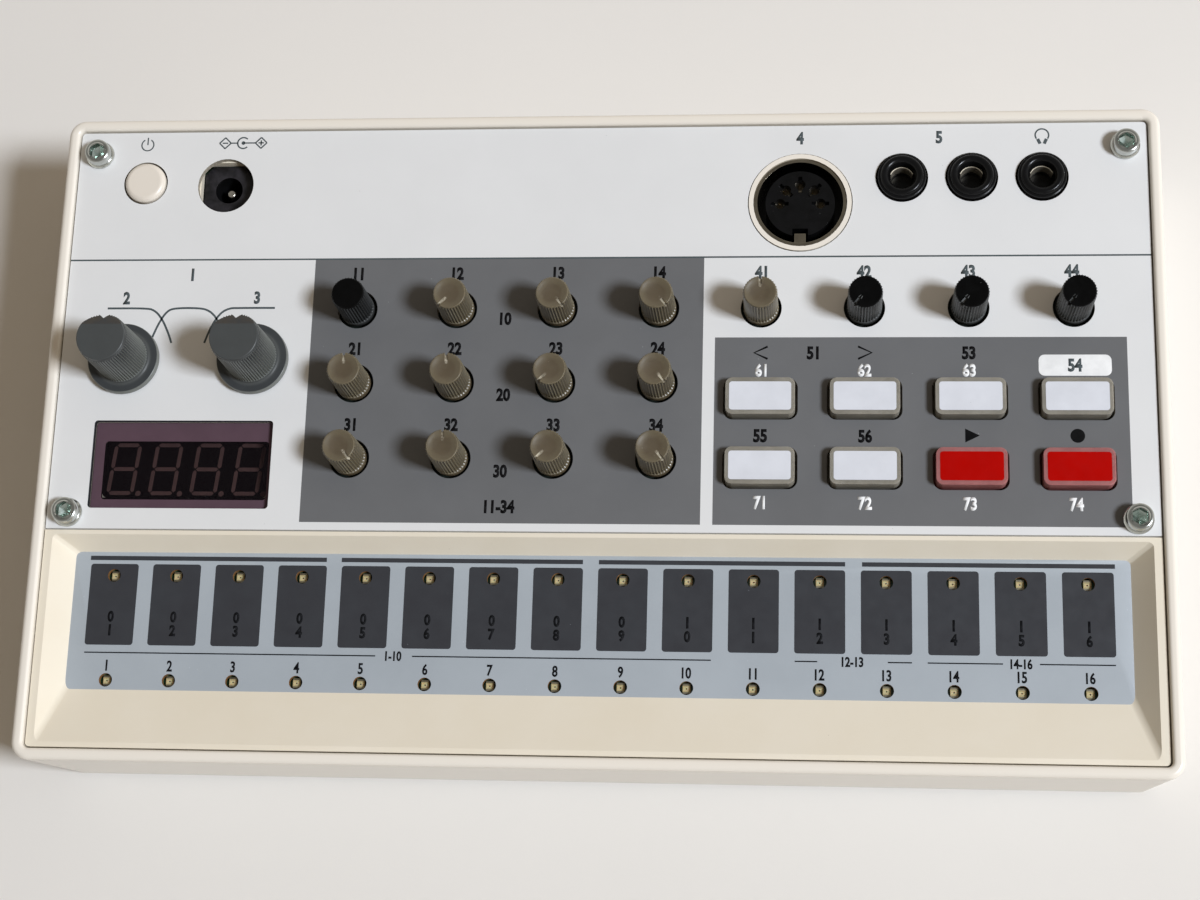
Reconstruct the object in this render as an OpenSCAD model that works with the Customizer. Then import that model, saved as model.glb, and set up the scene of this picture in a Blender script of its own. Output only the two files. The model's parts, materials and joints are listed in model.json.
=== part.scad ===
// Desktop step sequencer: a shallow plastic case with a printed panel of knobs and rubber keys,
// sockets along the back, a small number display and a sunken touch strip along the front.
// Millimetres. The origin is the middle of the footprint on the table, +X right, +Y back, +Z up.

/* [Case] */
// Width of the case over the rim
body_w = 193; // [191:0.5:215]
// Depth of the case over the rim
body_d = 115; // [113.5:0.5:130]
// Thickness of the side walls
wall = 2.0; // [1.6:0.1:2.4]
// Radius of the inner corners of the side walls
corner_in_r = 1.0; // [0.95:0.05:2.5]
// How far the side walls lean in at the floor
wall_lean = 1.0; // [0.4:0.1:1.1]
// Rounding of the outer edge of the rim
rim_round = 0.9; // [0.4:0.1:1.2]
// Thickness of the floor
floor_t = 2.0; // [1.7:0.1:3]
// Height of the rim above the panel
rim_lip = 0.9; // [0.5:0.1:1.5]
// Gap between the rim and what lies inside it
fit_gap = 0.25; // [0.15:0.05:0.4]

/* [Feet] */
// Height of the rubber feet below the floor
foot_h = 1.5; // [1:0.1:4]
// Radius of the rubber feet
foot_r = 6; // [4:0.5:7]
// Depth of the recess that holds a foot
foot_sink = 0.5; // [0.3:0.1:1]
// Distance from the sides of the case to the middle of a foot
foot_inset = 13; // [11:0.5:18]

/* [Layers] */
// Thickness of the walls and roof of the battery well
well_t = 1.2; // [1:0.1:2]
// Height of the pads that carry the main board on the battery well
board_pad = 0.9; // [0.5:0.1:3]
// Thickness of the circuit boards
board_t = 1.6; // [1:0.1:2]
// Height between the main board and the tray
part_space = 6.0; // [5.7:0.1:9]
// Thickness of the tray below the panel
tray_t = 1.8; // [1.4:0.1:2.5]
// Thickness of the printed panel
panel_t = 1.2; // [1:0.1:2]
// Depth of the panel from front to back
panel_d = 73; // [72:0.5:75]

/* [Touch strip] */
// Depth of the sunken strip below the panel
recess_d = 3.5; // [2.8:0.1:4]
// Width of the flat ledge round the strip at the sides and the back
ledge = 1.4; // [0.8:0.1:2]
// Width of the flat ledge in front of the strip
ledge_front = 0.9; // [0.5:0.1:1.5]
// Width of the slope at each end of the strip
slope_side = 3.35; // [2:0.05:5]
// Width of the slope behind the strip
slope_rear = 1.75; // [1:0.05:3]
// Width of the slope in front of the strip
slope_front = 9.35; // [8.5:0.05:11]
// Thickness of the touch plate
plate_t = 1.0; // [0.8:0.1:1.5]
// Number of steps along the strip
steps = 16; // [8:1:16]
// Distance from the ends of the strip to the outer steps
step_margin = 7; // [5.5:0.1:20]
// Radius of the lamp windows in the touch plate
lamp_window_r = 1.15; // [0.9:0.05:1.4]
// Distance from the back of the strip to the rear row of lamps
lamp_rear = 4.1; // [3:0.1:6]
// Distance from the front of the strip to the front row of lamps
lamp_front = 1.65; // [1.5:0.05:3]

/* [Knobs] */
// Distance from the left side of the panel to the first knob column
col_first = 52.4; // [50:0.1:54]
// Distance from the right side of the panel to the last knob column
col_last = 13.2; // [11:0.1:14]
// Spacing of the knob rows
row_pitch = 13.4; // [12.5:0.1:14]
// Distance from the back of the panel to the rear knob row
row_inset = 33.55; // [32:0.05:34]
// Radius of the panel holes round the small knobs
knob_hole_r = 3.5; // [3.4:0.05:4]
// Radius of a small knob over its ribs
knob_r = 2.85; // [2.4:0.05:3]
// Radius of the plain skirt of a small knob
skirt_r = 3.05; // [2.6:0.05:3.1]
// Height of a small knob above the panel
knob_h = 8.8; // [6:0.1:12]
// Number of ribs on a small knob
knob_ribs = 36; // [18:1:48]
// Radius of the stem of a small knob
stem_r = 1.5; // [1:0.1:2]
// Turn of a knob from the middle to either end
knob_half_turn = 140; // [120:5:150]

/* [Large knobs] */
// Distance from the left side of the panel to the left large knob
big_inset_x = 11.55; // [10.5:0.05:13]
// Spacing of the two large knobs
big_pitch = 23; // [20:0.1:25]
// Distance from the back of the panel to the large knobs
big_inset_y = 42.85; // [40:0.05:44]
// Radius of the flange of a large knob
flange_r = 6.25; // [5.5:0.05:7]
// Height of the flange of a large knob
flange_h = 1.6; // [1:0.1:3]
// Radius of the grip of a large knob
grip_r = 4.4; // [4:0.05:5]
// Height of a large knob above the panel
big_h = 14; // [11:0.1:18]
// Number of ribs on a large knob
grip_ribs = 60; // [30:1:72]
// Radius of the shaft of a large knob
shaft_r = 2.5; // [2:0.1:3]

/* [Keys] */
// Width of a rubber key
key_w = 11.7; // [10:0.1:12]
// Depth of a rubber key
key_d = 6.4; // [5:0.1:6.6]
// Radius of the corners of a key
key_corner = 1.2; // [0.6:0.1:1.5]
// Gap between a key and its hole in the panel
key_gap = 0.45; // [0.35:0.05:0.55]
// Height of a key above the panel
key_proud = 2.0; // [1.5:0.1:3]
// Travel of a key
key_travel = 1.0; // [0.6:0.1:1.2]
// Distance from the back of the panel to the rear row of keys
key_inset = 49.7; // [49:0.1:50.3]
// Spacing of the two rows of keys
key_pitch = 12.08; // [11:0.02:12.6]

/* [Display] */
// Width of the display window
window_w = 31.7; // [31:0.1:33]
// Depth of the display window
window_d = 15.6; // [14.5:0.1:17]
// Distance from the left side of the panel to the middle of the window
window_inset_x = 22.9; // [21:0.05:24]
// Distance from the front of the panel to the middle of the window
window_inset_y = 11.45; // [10.8:0.05:12.5]
// Width of the opening over the digits
digits_open_w = 29; // [28:0.1:29.4]
// Depth of the opening over the digits
digits_open_d = 10.4; // [9.5:0.1:11]
// Depth of the opening over the digits below the panel
digits_drop = 3.6; // [3.3:0.1:4.5]

/* [Sockets] */
// Radius of the shell of the round five-pole socket
din_r = 8.0; // [7.6:0.1:8.4]
// Distance from the right side of the panel to the five-pole socket
din_inset_x = 59.3; // [58:0.05:61]
// Distance from the back of the panel to the five-pole socket
din_inset_y = 14.3; // [13.5:0.05:16]
// Radius of the collar of a small socket
collar_r = 4.15; // [3.8:0.05:4.4]
// Height of the collar above the panel
collar_h = 1.4; // [0.5:0.1:3]
// Radius of the bore of a small socket
jack_bore_r = 1.8; // [1.3:0.05:2]
// Depth of the bore of a small socket
jack_depth = 13.9; // [12:0.1:15]
// Distance from the right side of the panel to the last small socket
jack_inset_x = 17.9; // [16:0.1:19]
// Spacing of the small sockets
jack_pitch = 11.95; // [11:0.05:12.4]
// Distance from the back of the panel to the small sockets
jack_inset_y = 9.85; // [9.2:0.05:11]
// Radius of the bore of the supply socket
dc_bore_r = 2.45; // [2:0.05:3]
// Radius of the pin in the supply socket
dc_pin_r = 0.8; // [0.5:0.05:1.2]
// Distance from the left side of the panel to the supply socket
dc_inset_x = 27.15; // [26.5:0.05:32]
// Distance from the back of the panel to the supply socket
dc_inset_y = 10.25; // [9.5:0.05:12]
// Radius of the power button
power_r = 3.7; // [3:0.05:4.2]
// Travel of the power button
power_travel = 0.7; // [0.3:0.1:0.8]
// Distance from the left side of the panel to the power button
power_inset_x = 12.5; // [12:0.05:14]
// Distance from the back of the panel to the power button
power_inset_y = 9.7; // [9:0.05:11]

/* [Power and sound] */
// Diameter of a battery cell
cell_d = 14.2; // [13.5:0.1:14.5]
// Length of a battery cell with its button
cell_l = 50.5; // [49:0.1:51]
// Middle of the battery well from front to back
well_y = -5; // [-8:0.5:0]
// Radius of the loudspeaker
speaker_r = 16; // [12:0.5:16.5]
// Distance from the left side of the case to the middle of the loudspeaker
speaker_inset = 22; // [21.5:0.1:23]
// Place of the loudspeaker from front to back
speaker_y = 5; // [0:0.5:10]

/* [Screws] */
// Distance of the panel screws from the sides of the panel
screw_inset_x = 3.75; // [3.4:0.05:4.5]
// Distance of the panel screws from the back of the panel
screw_inset_rear = 4.35; // [3.5:0.05:6]
// Distance of the panel screws from the front of the panel
screw_inset_front = 2.75; // [2.7:0.05:3.5]
// Radius of the panel screws
screw_r = 1.5; // [1:0.05:1.6]
// Gap between a case screw's boss and the nearest small socket
boss_clear = 1.45; // [0.8:0.05:3]
// Distance of the case screws from the front and back of the case
case_screw_inset = 6.5; // [6.3:0.1:6.8]
// Radius of the case screws
case_screw_r = 1.3; // [1:0.05:1.5]

/* [Hidden] */
$fn = 64;
over = 1;          // extra length of a cut past the face that it opens
run_gap = 0.06;    // radial gap of a turning stem or shaft
slip_gap = 0.02;   // radial gap of a pressed-in or glued piece
seat_gap = 0.3;    // gap of a piece that rests or slides loosely

// Heights, from the table up
cell_r = cell_d / 2;
floor_z0 = foot_h;
floor_z1 = floor_z0 + floor_t;
cell_z = floor_z1 + seat_gap + cell_r;
roof_z0 = cell_z + cell_r + seat_gap;
roof_z1 = roof_z0 + well_t;
board_z0 = roof_z1 + board_pad;
board_z1 = board_z0 + board_t;
tray_z0 = board_z1 + part_space;
tray_z1 = tray_z0 + tray_t;
panel_z = tray_z1 + panel_t;
rim_z = panel_z + rim_lip;
strip_z = panel_z - recess_d;
lamp_h = 0.6;
lamp_w = 1.2;
lamp_d = 1.5;
lamp_gap = 0.1;
touch_board_z1 = strip_z - plate_t - lamp_gap - lamp_h;
pot_z1 = tray_z0 - seat_gap;

// Outline of the panel and of the frame below it
corner_r = corner_in_r + wall;
inner_lean = 0.8 * wall_lean;
wall_bite = 0.3;
floor_inset = wall_lean + wall_bite;
frame_w = body_w - 2 * (wall + fit_gap);
frame_d = body_d - 2 * (wall + fit_gap);
frame_corner = corner_in_r - fit_gap;
panel_left = -frame_w / 2;
panel_right = frame_w / 2;
panel_rear = frame_d / 2;
panel_front = panel_rear - panel_d;
bezel_rear = panel_front - fit_gap;

// Opening of the touch strip at its own level
strip_w = frame_w - 2 * (ledge + slope_side);
strip_rear = bezel_rear - ledge - slope_rear;
strip_front = -frame_d / 2 + ledge_front + slope_front;
strip_mid = (strip_rear + strip_front) / 2;
strip_d = strip_rear - strip_front;
plate_lip = 1.0;
plate_w = strip_w + 2 * plate_lip;
plate_d = strip_d + 2 * plate_lip;
rib_t = 1.2;
rib_gap = 0.2;
touch_board_w = plate_w + 2 * (rib_t + rib_gap);
touch_board_d = plate_d + 2 * (rib_t + rib_gap);
step_pitch = (strip_w - 2 * step_margin) / (steps - 1);
lamp_rows = [strip_rear - lamp_rear, strip_front + lamp_front];

// Knob columns, rows and the resting turn of each knob, in half turns from the middle
columns = 8;
col_pitch = (frame_w - col_first - col_last) / (columns - 1);
function col(i) = panel_left + col_first + i * col_pitch;
function row(j) = panel_rear - row_inset - j * row_pitch;
at_min = 1;
at_mid = 0;
at_max = -1;
KNOBS = [
    ["select_knob", 0, 0, at_mid],
    ["start_knob", 1, 0, at_min],
    ["length_knob", 2, 0, at_max],
    ["cutoff_knob", 3, 0, at_max],
    ["tempo_knob", 4, 0, at_mid],
    ["swing_knob", 5, 0, at_min],
    ["reverb_knob", 6, 0, at_min],
    ["volume_knob", 7, 0, at_min],
    ["speed_knob", 0, 1, at_mid],
    ["pitch_depth_knob", 1, 1, at_mid],
    ["pitch_attack_knob", 2, 1, at_min],
    ["pitch_decay_knob", 3, 1, at_max],
    ["level_knob", 0, 2, at_max],
    ["pan_knob", 1, 2, at_mid],
    ["amp_attack_knob", 2, 2, at_min],
    ["amp_decay_knob", 3, 2, at_max],
];
ENCODER = 0;
BLACK_KNOBS = [0, 5, 6, 7];
function knob_x(i) = col(KNOBS[i][1]);
function knob_y(i) = row(KNOBS[i][2]);

big_x = panel_left + big_inset_x;
big_y = panel_rear - big_inset_y;
BIG_KNOBS = [["bass", big_x], ["treble", big_x + big_pitch]];

// Keys, each with its column among the knob columns and its row
KEYS = [
    ["reverse_key", 4, 0],
    ["reverb_key", 5, 0],
    ["mute_key", 6, 0],
    ["function_key", 7, 0],
    ["memory_key", 4, 1],
    ["step_mode_key", 5, 1],
    ["play_key", 6, 1],
    ["record_key", 7, 1],
];
RED_KEYS = [6, 7];
key_y = panel_rear - key_inset;
function key_place(k) = [col(KEYS[k][1]), key_y - KEYS[k][2] * key_pitch, 0];
key_flange = 0.85;
key_flange_t = 1.0;
key_stroke_gap = 0.4;
mat_collar_h = 4.2;
collar_z1 = board_z1 + mat_collar_h;
key_flange_z0 = collar_z1 + key_travel + key_stroke_gap;
mat_t = 1.0;
key_lift = 0.2;
key_z0 = board_z1 + mat_t + key_travel + key_lift;
pad_margin = 1.0;
pad_x0 = col(4) - key_w / 2 - key_flange - pad_margin;
pad_x1 = col(7) + key_w / 2 + key_flange + pad_margin;
pad_y0 = key_y - key_pitch - key_d / 2 - key_flange - pad_margin;
pad_y1 = key_y + key_d / 2 + key_flange + pad_margin;

// Sockets and their seats on the board
JACKS = ["sync_in_jack", "sync_out_jack", "phones_jack"];
jack_x = panel_right - jack_inset_x - (len(JACKS) - 1) * jack_pitch;
jack_y = panel_rear - jack_inset_y;
function jack_place(i) = [jack_x + i * jack_pitch, jack_y, 0];
din_x = panel_right - din_inset_x;
din_y = panel_rear - din_inset_y;
dc_x = panel_left + dc_inset_x;
dc_y = panel_rear - dc_inset_y;
power_x = panel_left + power_inset_x;
power_y = panel_rear - power_inset_y;
jack_hole_gap = 0.35;
jack_hole_r = collar_r + jack_hole_gap;
jack_body_w = 10;
spigot_w = 8;
spigot_gap = 0.3;
collar_z = panel_z + collar_h;
jack_floor = 0.6;
mouth_flare = 0.5;
mouth_r = jack_bore_r + mouth_flare;
mouth_depth = 0.7;
din_wall = 0.6;
din_plug_gap = 1.4;
din_insert_r = din_r - din_wall - din_plug_gap;
din_base_t = 1.5;
din_pin_circle = 3.5;
din_pin_r = 0.9;
din_pin_floor = 2;
din_slot_l = 3;
din_slot_w = 0.7;
din_slot_depth = 1.5;
din_ring_gap = 0.1;
din_ring_t = 0.8;
din_ring_proud = 0.2;
din_ring_in = din_r + din_ring_gap;
din_ring_out = din_ring_in + din_ring_t;
din_hole_gap = 0.15;
din_hole_r = din_ring_out + din_hole_gap;
din_face_drop = 0.6;
din_face_z = panel_z - din_face_drop;
din_key_w = 2.7;
din_key_d = 1.4;
tongue_w = 2;
tongue_d = 2.2;
tongue_z0 = board_z1 + 2 * din_base_t;
dc_w = 9;
dc_drop = 2.5;
dc_top_z = panel_z - dc_drop;
dc_depth = 9.5;
dc_floor = 2;
dc_pin_seat = 1.5;
dc_pin_drop = 1.5;
dc_hole_r = 5.05;
dc_gap = 0.3;
power_hole_r = power_r + seat_gap;
power_proud = 0.9;
power_flange = 0.9;
power_flange_t = 0.9;
power_switch_w = 6.2;
power_stop_gap = 0.4;
switch_floor = 0.3;
power_flange_z = tray_z0 - seat_gap - power_flange_t;
plunger_r = 1.7;

// Bodies of the turning controls
pot_w = 9.6;
encoder_w = 11;
big_pot_w = 12;
bore_floor = 1;
bush_t = 1;
bush_gap = 0.4;
big_hole_r = shaft_r + bush_t + bush_gap;
rib_depth = 0.2;
skirt_show = 0.4;
pointer_w = 0.6;
pointer_depth = 0.6;
pointer_start = 0.4 * knob_r;
cap_h = 1.0;
cap_step = 0.1;
flange_chamfer = 0.4;
shaft_reach = 9.8;
facet_tilt = 12;
facet_start = 0.62 * grip_r;
notch_w = 1;
notch_h = 2.2;

// Screws, posts and towers
post_wall = 1.5;
post_r = screw_r + post_wall;
web_t = 2;
screw_gap = 0.2;
tray_margin = 0.3;
board_gap = 0.5;
screw_x = frame_w / 2 - screw_inset_x;
screw_ys = [frame_d / 2 - screw_inset_rear, panel_front + screw_inset_front];
screw_l = 11;
head_ring_t = 0.7;
head_ring = 0.4;
head_r = screw_r + 1.2;
head_h = 2.6;
socket_af = 2.5;
socket_depth = 1.6;
boss_wall = 1.7;
boss_r = case_screw_r + boss_wall;
case_screw_x = jack_x - jack_body_w / 2 - boss_clear - boss_r;
case_screw_y = body_d / 2 - case_screw_inset;
tower_h = 9;
tower_wall = 1;
tower_z = floor_z1 + tower_h;
tower_roof = 2.2;
case_head_r = case_screw_r + 1.3;
tower_r = case_head_r + seat_gap + tower_wall;
case_head_h = 1.8;
case_screw_l = 8;
cross_w = 0.7;
cross_depth = 1;

// Main board
board_inset = 2.0;
board_w = frame_w - 2 * board_inset;
board_setback = 0.8;
board_front = panel_front + board_setback;
board_rear = frame_d / 2 - board_inset;
board_rest_w = 8;
board_rest_d = 4;

// Battery well, cells and cover
contact_t = 2.5;
contact_plate_t = 0.5;
cell_space = 0.2;
cell_gap = 0.6;
cell_pitch = cell_d + cell_gap;
contact_w = 10;
contact_r = 3.5;
well_w = 2 * (cell_l + contact_t) + cell_space;
well_slack = 0.4;
well_d = 3 * cell_pitch + well_slack;
speaker_x = -body_w / 2 + speaker_inset;
well_gap = 2.7;
well_x = speaker_x + speaker_r + seat_gap + well_t + well_gap + well_t + well_w / 2;
well_rear = well_y + well_d / 2;
well_front = well_y - well_d / 2;
barrel_r = 1.2;
hinge_pin_r = 0.8;
hinge_pin_l = 1.3;
hinge_y = well_rear - seat_gap - barrel_r;
hinge_z = floor_z0 + barrel_r;
cell_button_r = 2.6;
cell_button_l = 1.2;
thumb_r = 9;
thumb_depth = 1;

// Loudspeaker and its seat
speaker_ring_h = 1.5;
speaker_rim = 2.5;
speaker_rim_t = 1.2;
basket_skin = 0.8;
basket_h = 7;
magnet_r = speaker_r / 2;
speaker_h = 10;
slot_pitch = 4;
slot_w = 2;
slot_margin = 4;
cone_edge_r = speaker_r - speaker_rim;
cone_edge_t = 0.3;
cone_edge_z = 0.5;
cone_throat_r = 3;
cone_throat_z = 4;
cone_skin = 0.4;
dome_z = 2.8;

// Rubber feet
foot_edge = 0.5;
foot_edge_h = 0.8;

// Number display
window_x = panel_left + window_inset_x;
window_y = panel_front + window_inset_y;
digits_margin = 0.5;
digits_w = digits_open_w + 2 * digits_margin;
digits_d = digits_open_d + 2 * digits_margin;
digits_open_r = 0.8;
digits_floor = 0.3;
digits_z = panel_z - digits_drop;
window_lip = 0.4;
window_gap = 0.1;
window_corner = 0.6;

case_white = [0.91, 0.90, 0.86];
frame_cream = [0.89, 0.85, 0.78];
panel_white = [0.89, 0.89, 0.89];
smoke_grey = [0.55, 0.51, 0.43];
near_black = [0.08, 0.08, 0.08];
knob_grey = [0.29, 0.30, 0.29];
zinc = [0.74, 0.74, 0.72];
board_green = [0.12, 0.30, 0.18];

// Flat rounded rectangle, exact arcs at its corners
module rounded(w, d, r) {
    square([w - 2 * r, d], center = true);
    square([w, d - 2 * r], center = true);
    for (x = [-1, 1], y = [-1, 1]) translate([x * (w / 2 - r), y * (d / 2 - r)]) circle(r);
}

// Upright prism of the frame's outline between two heights and two depths
module outline_slab(z0, z1, y0, y1) {
    intersection() {
        translate([0, 0, z0]) linear_extrude(z1 - z0) rounded(frame_w, frame_d, frame_corner);
        translate([-body_w, y0, z0 - over]) cube([2 * body_w, y1 - y0, z1 - z0 + 2 * over]);
    }
}

// Upright round hole or rod between two heights
module rod(r, z0, z1) translate([0, 0, z0]) cylinder(r = r, h = z1 - z0);

// Upright block between two heights, middle of its plan at the origin
module block(w, d, z0, z1) translate([-w / 2, -d / 2, z0]) cube([w, d, z1 - z0]);

// Flat outline in (outward, up) carried round a rounded rectangle
module carried_round(w, d, r) {
    for (k = [0:3]) {
        along = k % 2 == 0 ? d : w;
        across = k % 2 == 0 ? w : d;
        rotate(90 * k) {
            translate([across / 2, along / 2 - r, 0])
                rotate([90, 0, 0]) linear_extrude(along - 2 * r) children();
            translate([across / 2 - r, along / 2 - r, 0])
                rotate_extrude(angle = 90) translate([r, 0]) children();
        }
    }
}

// Round bar with pointed ribs, between two heights
module ribbed(r, ribs, depth, z0, z1) {
    star = [for (k = [0:2 * ribs - 1])
        (k % 2 == 0 ? r : r - depth) * [cos(180 * k / ribs), sin(180 * k / ribs)]];
    translate([0, 0, z0]) linear_extrude(z1 - z0) polygon(star);
}

module at_panel_screws() for (x = [-1, 1], y = screw_ys) translate([x * screw_x, y, 0]) children();

module at_case_screws() {
    for (x = [-1, 1], y = [-1, 1]) translate([x * case_screw_x, y * case_screw_y, 0]) children();
}

module at_feet() {
    for (x = [-1, 1], y = [-1, 1])
        translate([x * (body_w / 2 - foot_inset), y * (body_d / 2 - foot_inset), 0]) children();
}

module at_knobs() for (i = [0:len(KNOBS) - 1]) translate([knob_x(i), knob_y(i), 0]) children();

module at_keys() for (k = [0:len(KEYS) - 1]) translate(key_place(k)) children();

module at_jacks() for (i = [0:len(JACKS) - 1]) translate(jack_place(i)) children();

module at_lamps() {
    for (i = [0:steps - 1], y = lamp_rows) translate([(i - (steps - 1) / 2) * step_pitch, y, 0]) children();
}

module at_cells() {
    for (j = [-1:1], side = [0, 1])
        translate([well_x, well_y + j * cell_pitch, cell_z]) rotate(j == 0 ? 180 : 0)
            translate([side == 0 ? -cell_l - cell_space / 2 : cell_space / 2, 0, 0]) children();
}

// Side wall of the case: leaning outside, rounded rim, leaning inside below the frame
module wall_outline() {
    rim_points = [for (a = [0:15:90]) [rim_round * (cos(a) - 1), rim_z + rim_round * (sin(a) - 1)]];
    polygon(concat(
        [[-wall - inner_lean, floor_z0], [-wall_lean, floor_z0]],
        rim_points,
        [[-wall, rim_z], [-wall, touch_board_z1 - board_t - over]]
    ));
}

module speaker_slots() {
    reach = speaker_r - slot_margin;
    for (k = [-2:2]) {
        slot_l = 2 * sqrt(reach * reach - k * k * slot_pitch * slot_pitch);
        translate([speaker_x + k * slot_pitch, speaker_y, 0])
            block(slot_w, slot_l, floor_z0 - over, floor_z1 + over);
    }
}

module bottom_case() color(case_white) difference() {
    union() {
        carried_round(body_w, body_d, corner_r) wall_outline();
        translate([0, 0, floor_z0]) linear_extrude(floor_t)
            rounded(body_w - 2 * floor_inset, body_d - 2 * floor_inset, corner_r - floor_inset);
        translate([well_x, well_y, 0]) block(well_w + 2 * well_t, well_d + 2 * well_t, floor_z0, roof_z1);
        at_panel_screws() rod(post_r, floor_z0, tray_z0);
        for (x = [-1, 1], y = screw_ys)
            translate([x * (screw_x + body_w / 2 - wall) / 2, y, 0])
                block(body_w / 2 - wall - screw_x + over, web_t, floor_z0, tray_z0);
        at_case_screws() rod(tower_r, floor_z0, tower_z);
        translate([speaker_x, speaker_y, 0])
            rod(speaker_r + seat_gap + well_t, floor_z0, floor_z1 + speaker_ring_h);
        for (x = [-1, 1], y = [board_front + board_rest_d, well_rear - board_rest_d])
            translate([well_x + x * well_w / 3, y, 0]) block(board_rest_w, board_rest_d, roof_z0, board_z0);
    }
    translate([well_x, well_y, 0]) block(well_w, well_d, floor_z0 - over, roof_z0);
    translate([speaker_x, speaker_y, 0])
        rod(speaker_r + seat_gap, floor_z1, floor_z1 + speaker_ring_h + over);
    speaker_slots();
    at_panel_screws() rod(screw_r + slip_gap, panel_z - screw_l - over, tray_z0 + over);
    at_case_screws() rod(case_head_r + seat_gap, floor_z0 - over, tower_z - tower_roof);
    at_case_screws() rod(case_screw_r + seat_gap, floor_z0, tower_z + over);
    at_feet() rod(foot_r + slip_gap, floor_z0 - over, floor_z0 + foot_sink);
    for (x = [-1, 1])
        translate([well_x + x * well_w / 2, hinge_y, hinge_z]) rotate([0, 90, 0])
            cylinder(r = hinge_pin_r + run_gap, h = 2 * (hinge_pin_l + seat_gap), center = true);
}

// Four-sided funnel between two heights, with the corners of its lower and its upper rectangle
module funnel(z0, low_a, low_b, z1, high_a, high_b) {
    corners = concat(
        [for (c = [[0, 0], [1, 0], [1, 1], [0, 1]])
            [c[0] == 0 ? low_a[0] : low_b[0], c[1] == 0 ? low_a[1] : low_b[1], z0]],
        [for (c = [[0, 0], [1, 0], [1, 1], [0, 1]])
            [c[0] == 0 ? high_a[0] : high_b[0], c[1] == 0 ? high_a[1] : high_b[1], z1]]
    );
    faces = [[0, 1, 2, 3], [7, 6, 5, 4], [0, 4, 5, 1], [1, 5, 6, 2], [2, 6, 7, 3], [3, 7, 4, 0]];
    polyhedron(corners, faces);
}

// Sloped recess of the touch strip, run on a little past both ends
module recess_funnel() {
    function corner(t, x, y) = [
        x * (strip_w / 2 + slope_side * t),
        y < 0 ? strip_front - slope_front * t : strip_rear + slope_rear * t
    ];
    spare = over / 2;
    low = -spare / recess_d;
    high = 1 + spare / recess_d;
    funnel(strip_z - spare, corner(low, -1, -1), corner(low, 1, 1),
        panel_z + spare, corner(high, -1, -1), corner(high, 1, 1));
}

// Sloped well over the digits, below the window
module digits_funnel() {
    top = [window_w / 2 - window_lip, window_d / 2 - window_lip];
    low = [digits_open_w / 2, digits_open_d / 2];
    z0 = digits_z + digits_floor;
    rise = (top - low) / (tray_z1 - z0);
    translate([window_x, window_y, 0]) {
        funnel(z0, -low, low, tray_z1 + over, -top - over * rise, top + over * rise);
        translate([0, 0, digits_z - over]) linear_extrude(digits_floor + 2 * over)
            rounded(digits_open_w, digits_open_d, digits_open_r);
    }
}

// Cuts that the panel and the tray below it share, each grown by its own margin
module panel_cuts(z0, z1, margin) {
    at_knobs() rod(knob_hole_r + margin, z0, z1);
    for (b = BIG_KNOBS) translate([b[1], big_y, 0]) rod(big_hole_r + margin, z0, z1);
    at_jacks() rod(jack_hole_r + margin, z0, z1);
    translate([power_x, power_y, 0]) rod(power_hole_r + margin, z0, z1);
    at_panel_screws() rod(screw_r + screw_gap, z0, z1);
}

module front_frame() color(frame_cream) difference() {
    union() {
        outline_slab(strip_z, panel_z, -frame_d, bezel_rear);
        outline_slab(tray_z0, tray_z1, bezel_rear - ledge, frame_d);
        translate([0, strip_mid, 0]) difference() {
            block(touch_board_w, touch_board_d, touch_board_z1, strip_z + wall_bite);
            block(plate_w + 2 * rib_gap, plate_d + 2 * rib_gap, touch_board_z1 - over, strip_z);
        }
        translate([din_x, din_y, 0]) rod(din_ring_out, tray_z0, panel_z + din_ring_proud);
        translate([window_x, window_y, 0]) block(window_w, window_d, digits_z, tray_z1);
        at_case_screws() rod(boss_r, tower_z, strip_z + over);
    }
    recess_funnel();
    panel_cuts(tray_z0 - over, tray_z1 + over, tray_margin);
    translate([din_x, din_y, 0]) rod(din_ring_in, tray_z0 - over, panel_z + over);
    translate([dc_x, dc_y, 0]) block(dc_w + 2 * dc_gap, dc_w + 2 * dc_gap, tray_z0 - over, tray_z1 + over);
    digits_funnel();
    translate([pad_x0, pad_y0, tray_z0 - over])
        cube([pad_x1 - pad_x0, pad_y1 - pad_y0, tray_t + 2 * over]);
    at_case_screws() rod(case_screw_r + slip_gap, tower_z - over, tower_z + case_screw_l);
}

module top_panel() color(panel_white) difference() {
    outline_slab(tray_z1, panel_z, panel_front, frame_d);
    panel_cuts(tray_z1 - over, panel_z + over, 0);
    translate([din_x, din_y, 0]) rod(din_hole_r, tray_z1 - over, panel_z + over);
    translate([dc_x, dc_y, 0]) rod(dc_hole_r, tray_z1 - over, panel_z + over);
    translate([window_x, window_y, tray_z1 - over]) linear_extrude(panel_t + 2 * over)
        rounded(window_w, window_d, window_corner);
    at_keys() translate([0, 0, tray_z1 - over]) linear_extrude(panel_t + 2 * over)
        rounded(key_w + 2 * key_gap, key_d + 2 * key_gap, key_corner + key_gap);
}

module display_window() color([0.25, 0.16, 0.22, 0.6]) {
    translate([window_x, window_y, tray_z1]) linear_extrude(panel_t)
        rounded(window_w - 2 * window_gap, window_d - 2 * window_gap, window_corner - window_gap);
}

module display_module() color(near_black) {
    translate([window_x, window_y, 0]) block(digits_w, digits_d, board_z1, digits_z - seat_gap);
}

module touch_plate() color([0.66, 0.70, 0.75]) difference() {
    translate([0, strip_mid, strip_z - plate_t]) linear_extrude(plate_t) rounded(plate_w, plate_d, plate_lip);
    at_lamps() rod(lamp_window_r, strip_z - plate_t - over, strip_z + over);
}

module touch_board() color(board_green) {
    translate([0, strip_mid, 0])
        block(touch_board_w, touch_board_d, touch_board_z1 - board_t, touch_board_z1);
}

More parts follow.
